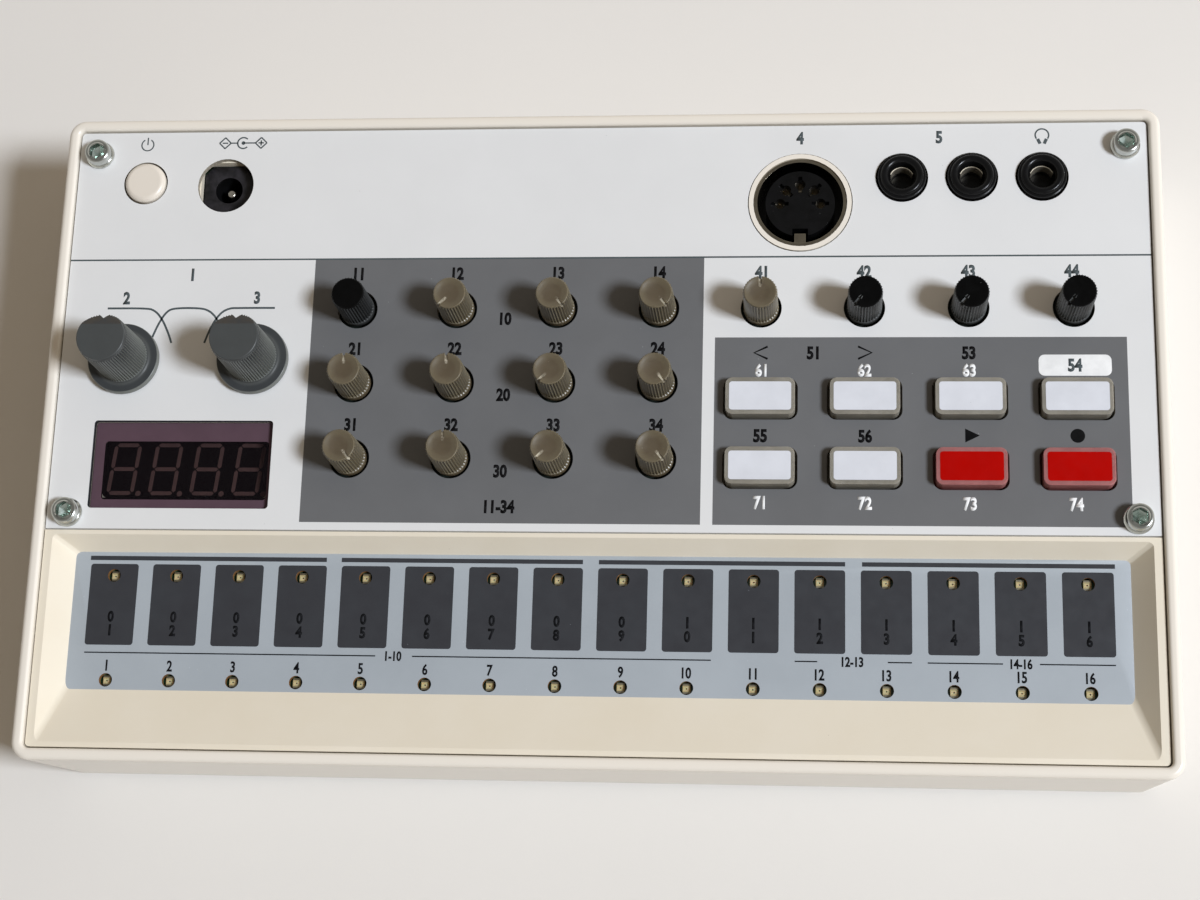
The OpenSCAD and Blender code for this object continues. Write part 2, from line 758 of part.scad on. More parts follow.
module step_lamps() color([0.85, 0.78, 0.62]) at_lamps() {
    block(lamp_w, lamp_d, touch_board_z1, touch_board_z1 + lamp_h);
}

module main_board() color(board_green) difference() {
    wall_gap = body_w / 2 - screw_x;
    translate([-board_w / 2, board_front, board_z0]) cube([board_w, board_rear - board_front, board_t]);
    at_panel_screws() rod(post_r + board_gap, board_z0 - over, board_z1 + over);
    for (x = [-1, 1], y = screw_ys) translate([x * (screw_x + wall_gap / 2), y, 0])
        block(wall_gap, web_t + 2 * board_gap, board_z0 - over, board_z1 + over);
    at_case_screws() rod(boss_r + board_gap, board_z0 - over, board_z1 + over);
    at_jacks() block(spigot_w + 2 * spigot_gap, spigot_w + 2 * spigot_gap, board_z0 - over, board_z1 + over);
    translate([dc_x, dc_y, 0])
        block(spigot_w + 2 * spigot_gap, spigot_w + 2 * spigot_gap, board_z0 - over, board_z1 + over);
}

module keypad_mat() color([0.62, 0.62, 0.56]) difference() {
    union() {
        translate([pad_x0, pad_y0, board_z1]) cube([pad_x1 - pad_x0, pad_y1 - pad_y0, mat_t]);
        at_keys() block(key_w + 2 * key_flange, key_d + 2 * key_flange, board_z1, collar_z1);
    }
    at_keys() translate([0, 0, board_z1 - over]) linear_extrude(collar_z1 - board_z1 + 2 * over)
        rounded(key_w + 2 * seat_gap, key_d + 2 * seat_gap, key_corner + seat_gap);
}

// Body of a small turning control, bored for the stem of its knob
module control_body(w) difference() {
    block(w, w, board_z1, pot_z1);
    rod(stem_r + run_gap, board_z1 + bore_floor, pot_z1 + over);
}

module pot_bodies() color([0.20, 0.25, 0.22]) {
    for (i = [0:len(KNOBS) - 1]) if (i != ENCODER) translate([knob_x(i), knob_y(i), 0]) control_body(pot_w);
}

module encoder_body() color(zinc) translate([knob_x(ENCODER), knob_y(ENCODER), 0]) control_body(encoder_w);

module large_pot_bodies() color([0.45, 0.45, 0.43]) {
    for (b = BIG_KNOBS) translate([b[1], big_y, 0]) difference() {
        union() {
            block(big_pot_w, big_pot_w, board_z1, pot_z1);
            rod(shaft_r + bush_t, board_z1, panel_z);
        }
        rod(shaft_r + run_gap, board_z1 + bore_floor, panel_z + over);
    }
}

module din_shell() color(zinc) translate([din_x, din_y, 0]) {
    difference() {
        rod(din_r, board_z1, panel_z);
        rod(din_r - din_wall, board_z1 - over, panel_z + over);
    }
    translate([-tongue_w / 2, -din_r + din_wall / 2, tongue_z0])
        cube([tongue_w, tongue_d, din_face_z - tongue_z0]);
}

module din_insert() color(near_black) translate([din_x, din_y, 0]) difference() {
    union() {
        rod(din_r - din_wall - slip_gap, board_z1, board_z1 + din_base_t);
        rod(din_insert_r, board_z1, din_face_z);
    }
    for (a = [0:45:180]) rotate(a) translate([din_pin_circle, 0, 0]) {
        rod(din_pin_r, board_z1 + din_pin_floor, din_face_z + over);
        block(din_slot_l, din_slot_w, din_face_z - din_slot_depth, din_face_z + over);
    }
    translate([-din_key_w / 2, -din_insert_r - over, board_z1 + din_pin_floor])
        cube([din_key_w, din_key_d + over, din_face_z - board_z1]);
}

module jack(i) color(near_black) translate(jack_place(i)) difference() {
    union() {
        block(jack_body_w, jack_body_w, board_z1, pot_z1);
        block(spigot_w, spigot_w, collar_z - jack_depth - jack_floor, board_z1);
        rod(collar_r, pot_z1, collar_z);
    }
    rod(jack_bore_r, collar_z - jack_depth, collar_z + over);
    rod(mouth_r, collar_z - mouth_depth, collar_z + over);
}

module dc_jack() color(near_black) translate([dc_x, dc_y, 0]) difference() {
    union() {
        block(dc_w, dc_w, board_z1, dc_top_z);
        block(spigot_w, spigot_w, dc_top_z - dc_depth - dc_floor, board_z1);
    }
    rod(dc_bore_r, dc_top_z - dc_depth, dc_top_z + over);
    rod(dc_pin_r + slip_gap, dc_top_z - dc_depth - dc_pin_seat, dc_top_z);
}

module dc_pin() color(zinc) translate([dc_x, dc_y, 0]) {
    rod(dc_pin_r, dc_top_z - dc_depth - dc_pin_seat, dc_top_z - dc_pin_drop);
}

module power_switch() color(near_black) translate([power_x, power_y, 0]) difference() {
    block(power_switch_w, power_switch_w, board_z1, power_flange_z - power_travel - power_stop_gap);
    rod(plunger_r + run_gap, board_z1 + switch_floor, panel_z);
}

module power_plunger() color([0.7, 0.7, 0.68]) translate([power_x, power_y, 0])
    rod(plunger_r, board_z1 + switch_floor + seat_gap + power_travel, power_flange_z);

module power_button() color(frame_cream) translate([power_x, power_y, 0]) {
    rod(power_r + power_flange, power_flange_z, power_flange_z + power_flange_t);
    rod(power_r, power_flange_z, panel_z + power_proud);
}

module panel_screws() color(zinc) at_panel_screws() difference() {
    union() {
        rod(screw_r, panel_z - screw_l, panel_z);
        rod(head_r, panel_z, panel_z + head_ring_t);
        rod(head_r - head_ring, panel_z, panel_z + head_h);
    }
    translate([0, 0, panel_z + head_h - socket_depth])
        cylinder(d = socket_af / cos(30), h = socket_depth + over, $fn = 6);
}

module case_screws() color(zinc) at_case_screws() difference() {
    case_head_z = tower_z - tower_roof - case_head_h;
    union() {
        rod(case_head_r, case_head_z, tower_z - tower_roof);
        rod(case_screw_r, tower_z - tower_roof, tower_z + case_screw_l - seat_gap);
    }
    for (a = [0, 90])
        rotate(a) block(cross_w, 2 * case_screw_r, case_head_z - over, case_head_z + cross_depth);
}

module rubber_feet() color(near_black) at_feet() {
    cylinder(r1 = foot_r - foot_edge, r2 = foot_r, h = foot_edge_h);
    rod(foot_r, foot_edge_h, floor_z0 + foot_sink);
}

module speaker_frame() color(zinc) translate([speaker_x, speaker_y, floor_z1]) rotate_extrude() polygon([
    [cone_edge_r, 0], [speaker_r, 0], [speaker_r, speaker_rim_t], [cone_edge_r + basket_skin, speaker_rim_t],
    [magnet_r + basket_skin, basket_h], [magnet_r, basket_h], [magnet_r, speaker_h], [0, speaker_h],
    [0, basket_h - basket_skin], [magnet_r, basket_h - basket_skin], [cone_edge_r, speaker_rim_t]
]);

module speaker_cone() color([0.15, 0.15, 0.15]) {
    translate([speaker_x, speaker_y, floor_z1]) rotate_extrude() polygon([
        [0, dome_z + cone_skin], [cone_throat_r - cone_skin, dome_z + cone_skin],
        [cone_throat_r, cone_throat_z + cone_skin], [cone_edge_r - 2 * cone_skin, cone_edge_z + cone_edge_t],
        [cone_edge_r, cone_edge_z + cone_edge_t], [cone_edge_r, cone_edge_z],
        [cone_edge_r - 2 * cone_skin, cone_edge_z], [cone_throat_r, cone_throat_z],
        [cone_throat_r - cone_skin, dome_z], [0, dome_z]
    ]);
}

module battery_cells() color([0.30, 0.31, 0.33]) at_cells() rotate([0, 90, 0]) {
    cylinder(r = cell_r, h = cell_l - cell_button_l);
    cylinder(r = cell_button_r, h = cell_l);
}

module battery_contacts() color(zinc) {
    for (j = [-1:1], x = [-1, 1])
        translate([well_x + x * well_w / 2, well_y + j * cell_pitch, cell_z]) rotate([0, -90 * x, 0]) {
            block(contact_w, contact_w, 0, contact_plate_t);
            cylinder(r1 = contact_r, r2 = cell_button_r, h = contact_t);
        }
}

module battery_cover() color(case_white) translate([well_x, 0, 0]) {
    cover_w = well_w - 2 * seat_gap;
    difference() {
        union() {
            translate([-cover_w / 2, well_front + seat_gap, floor_z0])
                cube([cover_w, hinge_y - well_front - seat_gap, floor_t]);
            translate([-cover_w / 2, hinge_y, hinge_z])
                rotate([0, 90, 0]) cylinder(r = barrel_r, h = cover_w);
        }
        translate([0, well_front + thumb_r, floor_z0 + thumb_depth - thumb_r]) sphere(r = thumb_r);
    }
    translate([-cover_w / 2 - hinge_pin_l, hinge_y, hinge_z]) rotate([0, 90, 0])
        cylinder(r = hinge_pin_r, h = cover_w + 2 * hinge_pin_l);
}

// Small knob with its stem, turned to where its pointer rests
module small_knob(i) {
    skirt_z1 = panel_z + skirt_show;
    top = panel_z + knob_h;
    black = len(search(i, BLACK_KNOBS)) > 0;
    color(black ? near_black : smoke_grey)
        translate([knob_x(i), knob_y(i), 0]) rotate(KNOBS[i][3] * knob_half_turn) difference() {
            union() {
                rod(stem_r, board_z1 + bore_floor + seat_gap, tray_z0 + seat_gap);
                rod(skirt_r, tray_z0 + seat_gap, skirt_z1);
                ribbed(knob_r, knob_ribs, rib_depth, skirt_z1, top);
            }
            if (i != ENCODER) translate([-pointer_w / 2, pointer_start, top - pointer_depth])
                cube([pointer_w, knob_r, pointer_depth + over]);
        }
}

// Large knob: a low flange, a ribbed grip and a plain cap with a sloped pointer facet
module large_knob(b) color(knob_grey) translate([BIG_KNOBS[b][1], big_y, 0]) difference() {
    base = panel_z + seat_gap;
    top = panel_z + big_h;
    flange_z = base + flange_h - flange_chamfer;
    union() {
        rod(flange_r, base, flange_z);
        translate([0, 0, flange_z])
            cylinder(r1 = flange_r, r2 = flange_r - flange_chamfer, h = flange_chamfer);
        ribbed(grip_r, grip_ribs, rib_depth, base, top - cap_h);
        rod(grip_r - cap_step, top - cap_h, top);
    }
    rod(shaft_r + slip_gap, base - over, base + shaft_reach);
    translate([0, facet_start, top]) rotate([-facet_tilt, 0, 0])
        translate([0, grip_r, 0]) block(2 * grip_r, 2 * grip_r, 0, grip_r);
    translate([0, grip_r, 0]) rotate(45) block(notch_w, notch_w, top - notch_h, top + over);
}

module large_shaft(b) color(zinc) translate([BIG_KNOBS[b][1], big_y, 0])
    rod(shaft_r, board_z1 + bore_floor + seat_gap, panel_z + shaft_reach);

module key(k) color(len(search(k, RED_KEYS)) > 0 ? [0.69, 0.10, 0.08] : [0.86, 0.88, 0.90])
    translate(key_place(k)) {
        translate([0, 0, key_z0]) linear_extrude(panel_z + key_proud - key_z0)
            rounded(key_w, key_d, key_corner);
        translate([0, 0, key_flange_z0]) linear_extrude(key_flange_t)
            rounded(key_w + 2 * key_flange, key_d + 2 * key_flange, key_corner);
    }

bottom_case();
front_frame();
top_panel();
display_window();
display_module();
touch_plate();
touch_board();
step_lamps();
main_board();
keypad_mat();
pot_bodies();
encoder_body();
large_pot_bodies();
din_shell();
din_insert();
dc_jack();
dc_pin();
power_switch();
power_button();
power_plunger();
panel_screws();
case_screws();
rubber_feet();
speaker_frame();
speaker_cone();
battery_cells();
battery_contacts();
battery_cover();
for (i = [0:len(JACKS) - 1]) jack(i);
for (i = [0:len(KNOBS) - 1]) small_knob(i);
for (b = [0:1]) large_knob(b);
for (b = [0:1]) large_shaft(b);
for (k = [0:len(KEYS) - 1]) key(k);
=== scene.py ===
"""Looks of a desktop step sequencer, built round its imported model; laid out as an add-on and run as a script."""

import json
import math

import bpy
from bpy.props import FloatProperty, FloatVectorProperty, IntProperty, PointerProperty
from mathutils import Matrix, Vector


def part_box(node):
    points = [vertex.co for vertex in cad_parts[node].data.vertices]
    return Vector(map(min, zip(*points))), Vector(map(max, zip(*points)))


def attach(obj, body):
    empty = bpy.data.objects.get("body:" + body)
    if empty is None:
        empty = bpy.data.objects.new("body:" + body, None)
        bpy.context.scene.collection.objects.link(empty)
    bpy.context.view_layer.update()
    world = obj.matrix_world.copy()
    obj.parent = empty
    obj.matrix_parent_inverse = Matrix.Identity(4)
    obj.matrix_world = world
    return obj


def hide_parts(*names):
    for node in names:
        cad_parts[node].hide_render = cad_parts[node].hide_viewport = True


bl_info = {
    "name": "Step Sequencer Looks",
    "version": (1, 0, 0),
    "blender": (4, 5, 0),
    "location": "View3D > Sidebar > Sequencer",
    "description": "Models and finishes the pieces of a desktop step sequencer on its packed frame",
    "category": "Object",
}

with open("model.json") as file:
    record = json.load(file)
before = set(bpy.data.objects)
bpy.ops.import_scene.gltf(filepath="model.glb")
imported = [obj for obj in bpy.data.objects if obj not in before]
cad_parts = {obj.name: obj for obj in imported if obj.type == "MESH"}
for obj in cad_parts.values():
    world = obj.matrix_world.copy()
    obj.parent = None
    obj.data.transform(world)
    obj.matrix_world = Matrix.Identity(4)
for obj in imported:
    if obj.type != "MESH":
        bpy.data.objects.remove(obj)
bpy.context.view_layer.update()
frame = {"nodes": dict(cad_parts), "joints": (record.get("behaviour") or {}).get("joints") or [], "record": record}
MM = 0.001
BODY = {node: body for body, nodes in frame["record"]["behaviour"]["bodies"].items() for node in nodes}
SLOT = {row["node"]: row["material_slot"] for row in frame["record"]["subparts"]}
TURN = {joint["child"]: joint for joint in frame["joints"] if joint["type"] == "hinge"}
LARGE_KNOBS = ("bass_knob", "treble_knob")
SMALL_KNOBS = [node for node in BODY if node.endswith("_knob") and node not in LARGE_KNOBS]
BLACK_KNOBS = [node for node in SMALL_KNOBS if SLOT[node] == "knob_black"]
ENDLESS_KNOB = "select_knob"
KEYS = [node for node in BODY if node.endswith("_key")]
RED_KEYS = [node for node in KEYS if SLOT[node] == "silicone_red"]
JACKS = [node for node in BODY if node.endswith("_jack") and node != "dc_jack"]
PANEL_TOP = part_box("top_panel")[1].z
STRIP_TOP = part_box("touch_plate")[1].z
INK_SINK = 0.01 * MM
INK = 0.03 * MM
NEAR = 0.01 * MM


def linear(hex_code):
    """An sRGB colour such as #e2e3e2 as linear red, green, blue and alpha."""
    channels = [int(hex_code[i:i + 2], 16) / 255 for i in (1, 3, 5)]
    return [c / 12.92 if c <= 0.04045 else ((c + 0.055) / 1.055) ** 2.4 for c in channels] + [1.0]


def length(name, description, mm):
    return FloatProperty(name=name, description=description, default=mm * MM, min=0.0, precision=5, unit="LENGTH")


def tint(name, description, hex_code):
    return FloatVectorProperty(name=name, description=description, default=linear(hex_code), size=4, min=0.0,
                               max=1.0, subtype="COLOR")


class CaseLook(bpy.types.PropertyGroup):
    edge: length("Case edge", "Rounding of the case's moulded edges", 0.3)
    rim_edge: length("Rim edge", "Rounding of the rim towards the panel", 0.6)
    frame_edge: length("Frame edge", "Rounding along the sloped recess", 0.4)
    recess_corner: length("Recess corner", "Rounding of the recess's four corners", 0.8)
    rear_ledge: length("Rear ledge shift", "How far the recess's rear edge lies nearer to the panel", 0.65)
    foot_edge: length("Foot edge", "Rounding of the rubber feet", 0.2)
    white: tint("Case white", "Warm white of the gloss case", "#ece6da")
    white_tone: tint("Case tone", "Slightly yellowed patches of the case", "#ece5d8")
    cream: tint("Frame cream", "Cream of the front frame", "#e8e0ce")
    cream_tone: tint("Frame tone", "Second tone of the front frame", "#e5dcc8")
    rubber: tint("Foot rubber", "Dark grey of the feet", "#26262a")


class PanelLook(bpy.types.PropertyGroup):
    edge: length("Hole edge", "Chamfer of the panel's cut holes", 0.1)
    line: length("Divider width", "Width of the line under the sockets", 0.3)
    divider: length("Divider place", "Line under the sockets, from the middle of the case", 31.0)
    cap: length("Numeral height", "Height of the numbers beside the knobs", 2.35)
    white: tint("Panel white", "Enamel of the panel", "#e2e3e2")
    white_tone: tint("Panel tone", "Second tone of the enamel", "#dfe0df")
    grey: tint("Grey print", "Printed grey areas", "#6c6d6e")
    grey_tone: tint("Grey tone", "Second tone of the grey print", "#676869")
    dark: tint("Dark ink", "Lettering and lines on white", "#4c5456")
    black: tint("Black ink", "Lettering on grey", "#0b0b0c")
    paper: tint("White ink", "White lettering and plate", "#e6e7e6")
    cut: tint("Cut edge", "Bare edge in the holes", "#b9b1a1")


class StripLook(bpy.types.PropertyGroup):
    pitch: length("Step pitch", "Distance between steps", 11.0)
    pad_width: length("Pad width", "Width of a printed pad", 8.4)
    pad_depth: length("Pad depth", "Depth of a printed pad", 14.1)
    pad_corner: length("Pad corner", "Corner radius of a pad", 0.5)
    window: length("Window", "Diameter of a lamp window", 2.3)
    chip_width: length("Lamp width", "Width of a chip lamp", 1.35)
    chip_depth: length("Lamp depth", "Depth of a chip lamp", 1.75)
    chip_height: length("Lamp height", "Height of a chip lamp on its board", 0.8)
    film: tint("Film", "Blue-grey of the printed film", "#a7afb5")
    film_tone: tint("Film tone", "Second tone of the film", "#a1a9af")
    pad: tint("Pad ink", "Charcoal of the pads", "#383a3e")
    pad_tone: tint("Pad tone", "Second tone of the pads", "#35363a")
    ink: tint("Strip ink", "Numbers and lines", "#0e0f12")
    edge: tint("Window edge", "Cut edge of the lamp windows", "#8a6238")
    # Painted shade: this darker blue-grey on the film's rounded outer edge stands for the shade along the strip's edge
    trim: tint("Shade-painted edge", "Darker outer edge of the film", "#7d858d")
    board: tint("Board green", "Solder mask of the boards", "#3d6b49")
    chip: tint("Lamp chip", "Khaki body of a chip lamp", "#b3a578")
    phosphor: tint("Lamp lens", "Lens of a chip lamp", "#c9bb90")
    solder: tint("Solder", "Tinned ends of a chip lamp", "#98917c")


class KnobLook(bpy.types.PropertyGroup):
    ribs: IntProperty(name="Small ribs", description="Ribs round a small knob", default=36, min=12, max=48)
    large_ribs: IntProperty(name="Large ribs", description="Ribs round a large knob", default=60, min=24, max=72)
    rib: length("Rib depth", "Depth of the grooves between ribs", 0.26)
    dish: length("Dish", "How far a smoke knob's top sinks in the middle", 0.38)
    slot_width: length("Pointer width", "Width of the pointer's slot", 0.5)
    slot_reach: length("Pointer length", "Length of the slot across the top", 1.4)
    slot_drop: length("Pointer drop", "Length of the slot down the side", 1.25)
    slot_depth: length("Pointer depth", "Depth of the slot", 0.45)
    smoke: tint("Smoke", "Translucent smoke of most small knobs", "#5c513f")
    smoke_tone: tint("Smoke tone", "Denser core of the smoke knobs", "#544937")
    # Painted light: this lighter smoke on rib crests, rim and a band below the ribs stands for light through the thin
    # plastic and for highlights
    smoke_thin: tint("Painted-light smoke", "Smoke plastic where it is thin, on ribs and rim", "#7c745c")
    # Painted highlight: the slot's walls on the smoke knobs take this pale colour
    pointer: tint("Pointer", "Bright walls of the pointer slot", "#c9c2ae")
    black: tint("Black", "Black knobs", "#050505")
    black_tone: tint("Black tone", "Second tone of the black knobs", "#080808")
    # Painted highlight: this light grey lies on the black ribs' crests and on the walls of their pointer slots
    black_crest: tint("Black crest", "Highlighted crests of the black ribs", "#747777")
    grey: tint("Grey", "Large knobs", "#34373a")
    grey_tone: tint("Grey tone", "Second tone of the large knobs", "#303336")
    # Painted highlight on the rib crests, the fillet and a little on the top; painted reflection on the flange's outer
    # band
    grey_crest: tint("Grey crest", "Highlighted crests and outer band of the large knobs", "#80837d")
    # Painted shade: the facet, tilted away from the lamp, takes this darker warm grey
    facet: tint("Pointer facet", "Sloped facet of the large knobs", "#423d36")
    facet_start: length("Facet start", "From the middle of a large knob to its facet", 2.2)
    facet_tilt: FloatProperty(name="Facet tilt", description="Slope of the facet", default=math.radians(33),
                              subtype="ANGLE")


class KeyLook(bpy.types.PropertyGroup):
    edge: length("Key edge", "Rounding of a rubber key", 0.6)
    print_width: length("Print width", "Width of the printed key top", 10.45)
    print_depth: length("Print depth", "Depth of the printed key top", 4.95)
    print_corner: length("Print corner", "Corner radius of the printed key top", 0.5)
    clear: tint("Clear silicone", "Milky silicone of the keys", "#918d82")
    clear_tone: tint("Silicone tone", "Denser silicone", "#817d72")
    red: tint("Red silicone", "Tinted silicone of the red keys", "#a56a68")
    red_tone: tint("Red silicone tone", "Denser red silicone", "#935a58")
    white_print: tint("White print", "Printed top of the plain keys", "#dbdee4")
    red_print: tint("Red print", "Printed top of the red keys", "#b00400")


class DisplayLook(bpy.types.PropertyGroup):
    digit_height: length("Digit height", "Height of a digit", 9.3)
    digit_width: length("Digit width", "Width of a digit", 4.9)
    digit_pitch: length("Digit pitch", "Distance between digits", 7.4)
    segment: length("Segment", "Thickness of a segment", 0.68)
    point: length("Point", "Diameter of a decimal point", 0.95)
    lean: FloatProperty(name="Lean", description="Slant of the digits", default=math.radians(6),
                        subtype="ANGLE")
    acrylic: tint("Acrylic", "Purple-brown tint of the window", "#120a10")
    mask: tint("Mask", "Printed mask round the digits, seen through the window", "#846875")
    mask_corner: length("Mask corner", "Corner radius of the mask's opening", 0.6)
    face: tint("Display face", "Black face of the digits", "#040404")
    face_tone: tint("Face tone", "Second tone of the black face", "#070607")
    diffuser: tint("Segments", "Unlit segments", "#8a6b68")


class SocketLook(bpy.types.PropertyGroup):
    black: tint("Socket black", "Black of the sockets", "#0c0c0c")
    black_tone: tint("Socket tone", "Second tone of the sockets", "#121213")
    satin: tint("Supply black", "Satin face of the supply socket", "#302e31")
    nickel: tint("Nickel", "Plated contacts and shells", "#a49b8a")
    zinc: tint("Zinc", "Plated screws", "#c6c8c3")
    # Painted glint: the metal in the hexagon sockets is greener and a little brighter than the zinc of the heads
    recess: tint("Recess", "Glint-painted metal in the screws' hexagon sockets", "#c6d2cb")
    button_edge: length("Button edge", "Rounding of the power button", 0.95)
    ivory: tint("Ivory", "Power button", "#e5ddd0")
    ivory_tone: tint("Ivory tone", "Second tone of the button", "#ded5c6")


class StageLook(bpy.types.PropertyGroup):
    floor: tint("Floor", "Plain pale floor", "#e4e1db")
    lamp_distance: length("Lamp distance", "From the object to the lamp", 2500)
    lamp_size: length("Lamp size", "Side of the square lamp", 480)
    lamp_power: FloatProperty(name="Lamp power", description="Power of the lamp", default=65.0, min=0.0, unit="POWER")
    lamp_tint: tint("Lamp tint", "Slightly cool light of the lamp", "#eff5ff")
    fill_near: FloatProperty(name="Near fill", description="Soft light from the lamp's side", default=0.48, min=0.0)
    fill_far: FloatProperty(name="Far fill", description="Soft light from the other side", default=0.07, min=0.0)
    fill_tint: tint("Fill tint", "Warm light from all round", "#ffebd2")
    ceiling: FloatProperty(name="Ceiling", description="Brightness of the room above in reflections", default=0.3,
                           min=0.0)


class SequencerLook(bpy.types.PropertyGroup):
    case: PointerProperty(type=CaseLook)
    panel: PointerProperty(type=PanelLook)
    strip: PointerProperty(type=StripLook)
    knobs: PointerProperty(type=KnobLook)
    keys: PointerProperty(type=KeyLook)
    display: PointerProperty(type=DisplayLook)
    sockets: PointerProperty(type=SocketLook)
    stage: PointerProperty(type=StageLook)


# Modelling

def deselect():
    if bpy.context.mode != "OBJECT":
        bpy.ops.object.mode_set(mode="OBJECT")
    bpy.ops.object.select_all(action="DESELECT")


def activate(piece, *others):
    deselect()
    for each in (piece, *others):
        each.select_set(True)
    bpy.context.view_layer.objects.active = piece


def named(name):
    """The object just made, under its name."""
    piece = bpy.context.object
    piece.name = piece.data.name = name
    return piece


def edit_all(piece):
    activate(piece)
    bpy.ops.object.mode_set(mode="EDIT")
    bpy.ops.mesh.select_mode(type="VERT")
    bpy.ops.mesh.select_all(action="SELECT")


def pick(piece, kind, test):
    """Leaves the piece in edit mode with only the points, edges or faces that pass the test selected."""
    edit_all(piece)
    bpy.ops.mesh.select_mode(type=kind)
    bpy.ops.mesh.select_all(action="DESELECT")
    bpy.ops.object.mode_set(mode="OBJECT")
    mesh = piece.data
    for part in {"VERT": mesh.vertices, "EDGE": mesh.edges, "FACE": mesh.polygons}[kind]:
        part.select = bool(test(part))
    bpy.ops.object.mode_set(mode="EDIT")


def modify(piece, kind, **settings):
    activate(piece)
    modifier = piece.modifiers.new(kind.title(), kind)
    for name, value in settings.items():
        setattr(modifier, name, value)
    bpy.ops.object.modifier_apply(modifier=modifier.name)


def smooth(piece, degrees=35):
    activate(piece)
    bpy.ops.object.shade_smooth_by_angle(angle=math.radians(degrees))


def soften(piece, width, steps=2, limit=30, split=False):
    """Rounds every edge sharper than the limit, then shades smoothly; split cuts up wide faces with holes first."""
    if split:
        pick(piece, "FACE", lambda face: len(face.vertices) > 4)
        bpy.ops.mesh.quads_convert_to_tris(quad_method="BEAUTY", ngon_method="BEAUTY")
        bpy.ops.object.mode_set(mode="OBJECT")
    modify(piece, "BEVEL", width=width, segments=steps, limit_method="ANGLE", angle_limit=math.radians(limit),
           miter_outer="MITER_ARC")
    smooth(piece)


def level(piece):
    """Keeps flat faces flat in smooth shading, so that highlights along their edges stay even."""
    modify(piece, "WEIGHTED_NORMAL", keep_sharp=True)


def round_edges(piece, test, width, segments):
    """Bevels the edges whose two ends pass a test together."""
    pick(piece, "EDGE", lambda edge: test(*[piece.data.vertices[i].co for i in edge.vertices]))
    bpy.ops.mesh.bevel(offset=width, segments=segments)
    bpy.ops.object.mode_set(mode="OBJECT")


def carve(piece, cutter):
    modify(piece, "BOOLEAN", operation="DIFFERENCE", object=cutter, solver="EXACT")
    bpy.data.objects.remove(cutter)


def join(name, pieces):
    activate(*pieces)
    bpy.ops.object.join()
    return named(name)


def set_down(piece, x=0.0, y=0.0, z=0.0, turn=0.0):
    """Moves and turns a piece, and keeps that in its mesh."""
    piece.location = (x, y, z)
    piece.rotation_euler = (0, 0, turn)
    activate(piece)
    bpy.ops.object.transform_apply(location=True, rotation=True, scale=True)
    return piece


def twin(piece, name):
    """Copy of a piece with a mesh of its own."""
    copy = piece.copy()
    copy.data = piece.data.copy()
    copy.name = copy.data.name = name
    bpy.context.scene.collection.objects.link(copy)
    return copy


def copy_of(node):
    """Merged copy of a CAD node's mesh, its flat areas in one face each."""
    name = f"{node}_dressed"
    piece = bpy.data.objects.new(name, frame["nodes"][node].data.copy())
    piece.data.name = name
    bpy.context.scene.collection.objects.link(piece)
    edit_all(piece)
    bpy.ops.mesh.customdata_custom_splitnormals_clear()
    bpy.ops.mesh.remove_doubles(threshold=1e-6)
    bpy.ops.mesh.dissolve_limited(angle_limit=math.radians(0.5))
    bpy.ops.object.mode_set(mode="OBJECT")
    return piece


def paint(piece, *materials):
    piece.data.materials.clear()
    for material in materials:
        piece.data.materials.append(material)


def mount(piece, body, slot, *nodes):
    """Ties a finished piece to its body and hides the CAD nodes that it stands for; slot is not used."""
    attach(piece, body)
    if nodes:
        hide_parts(*nodes)


def dress(node, material, edge, steps=2, split=False):
    """Shows a copy of a CAD node with rounded edges in its place."""
    piece = copy_of(node)
    soften(piece, edge, steps, split=split)
    level(piece)
    paint(piece, material)
    mount(piece, BODY[node], SLOT[node], node)
    return piece


def rings(base, *steps):
    """Radii and heights in metres, from radii and heights over a base in mm."""
    return [(radius * MM, base + height * MM) for radius, height in steps]


def stand(knob, node):
    """Sets a knob on its axis, turned to its rest angle."""
    joint = TURN[BODY[node]]
    turn = -math.radians(sum(joint.get("range_deg", (0, 0))) / 2)
    set_down(knob, joint["pos_m"][0], joint["pos_m"][1], 0, turn)
    mount(knob, BODY[node], SLOT[node], node)


def turned(name, profile, sides, tube=False):
    """Round solid: a circle extruded through the profile's radii and heights; a tube's end meets its start."""
    deselect()
    (radius, height), *steps = profile
    bpy.ops.mesh.primitive_circle_add(vertices=sides, radius=radius, fill_type="NOTHING" if tube else "NGON")
    piece = named(name)
    edit_all(piece)
    bpy.ops.transform.translate(value=(0, 0, height))
    for next_radius, next_height in steps:
        bpy.ops.mesh.extrude_region_move(TRANSFORM_OT_translate={"value": (0, 0, next_height - height)})
        scale = next_radius / radius
        bpy.ops.transform.resize(value=(scale, scale, 1), center_override=(0, 0, next_height))
        radius, height = next_radius, next_height
    if tube:
        bpy.ops.mesh.select_all(action="DESELECT")
        bpy.ops.mesh.select_mode(type="EDGE")
        bpy.ops.mesh.select_non_manifold()
        bpy.ops.mesh.bridge_edge_loops()
    bpy.ops.mesh.select_all(action="SELECT")
    bpy.ops.mesh.normals_make_consistent(inside=False)
    bpy.ops.object.mode_set(mode="OBJECT")
    return piece


def block(name, low, high):
    """Box between two corners."""
    deselect()
    centre = [(a + b) / 2 for a, b in zip(low, high)]
    size = [b - a for a, b in zip(low, high)]
    bpy.ops.mesh.primitive_cube_add(size=1, location=centre, scale=size)
    bpy.ops.object.transform_apply(location=True, rotation=True, scale=True)
    return named(name)


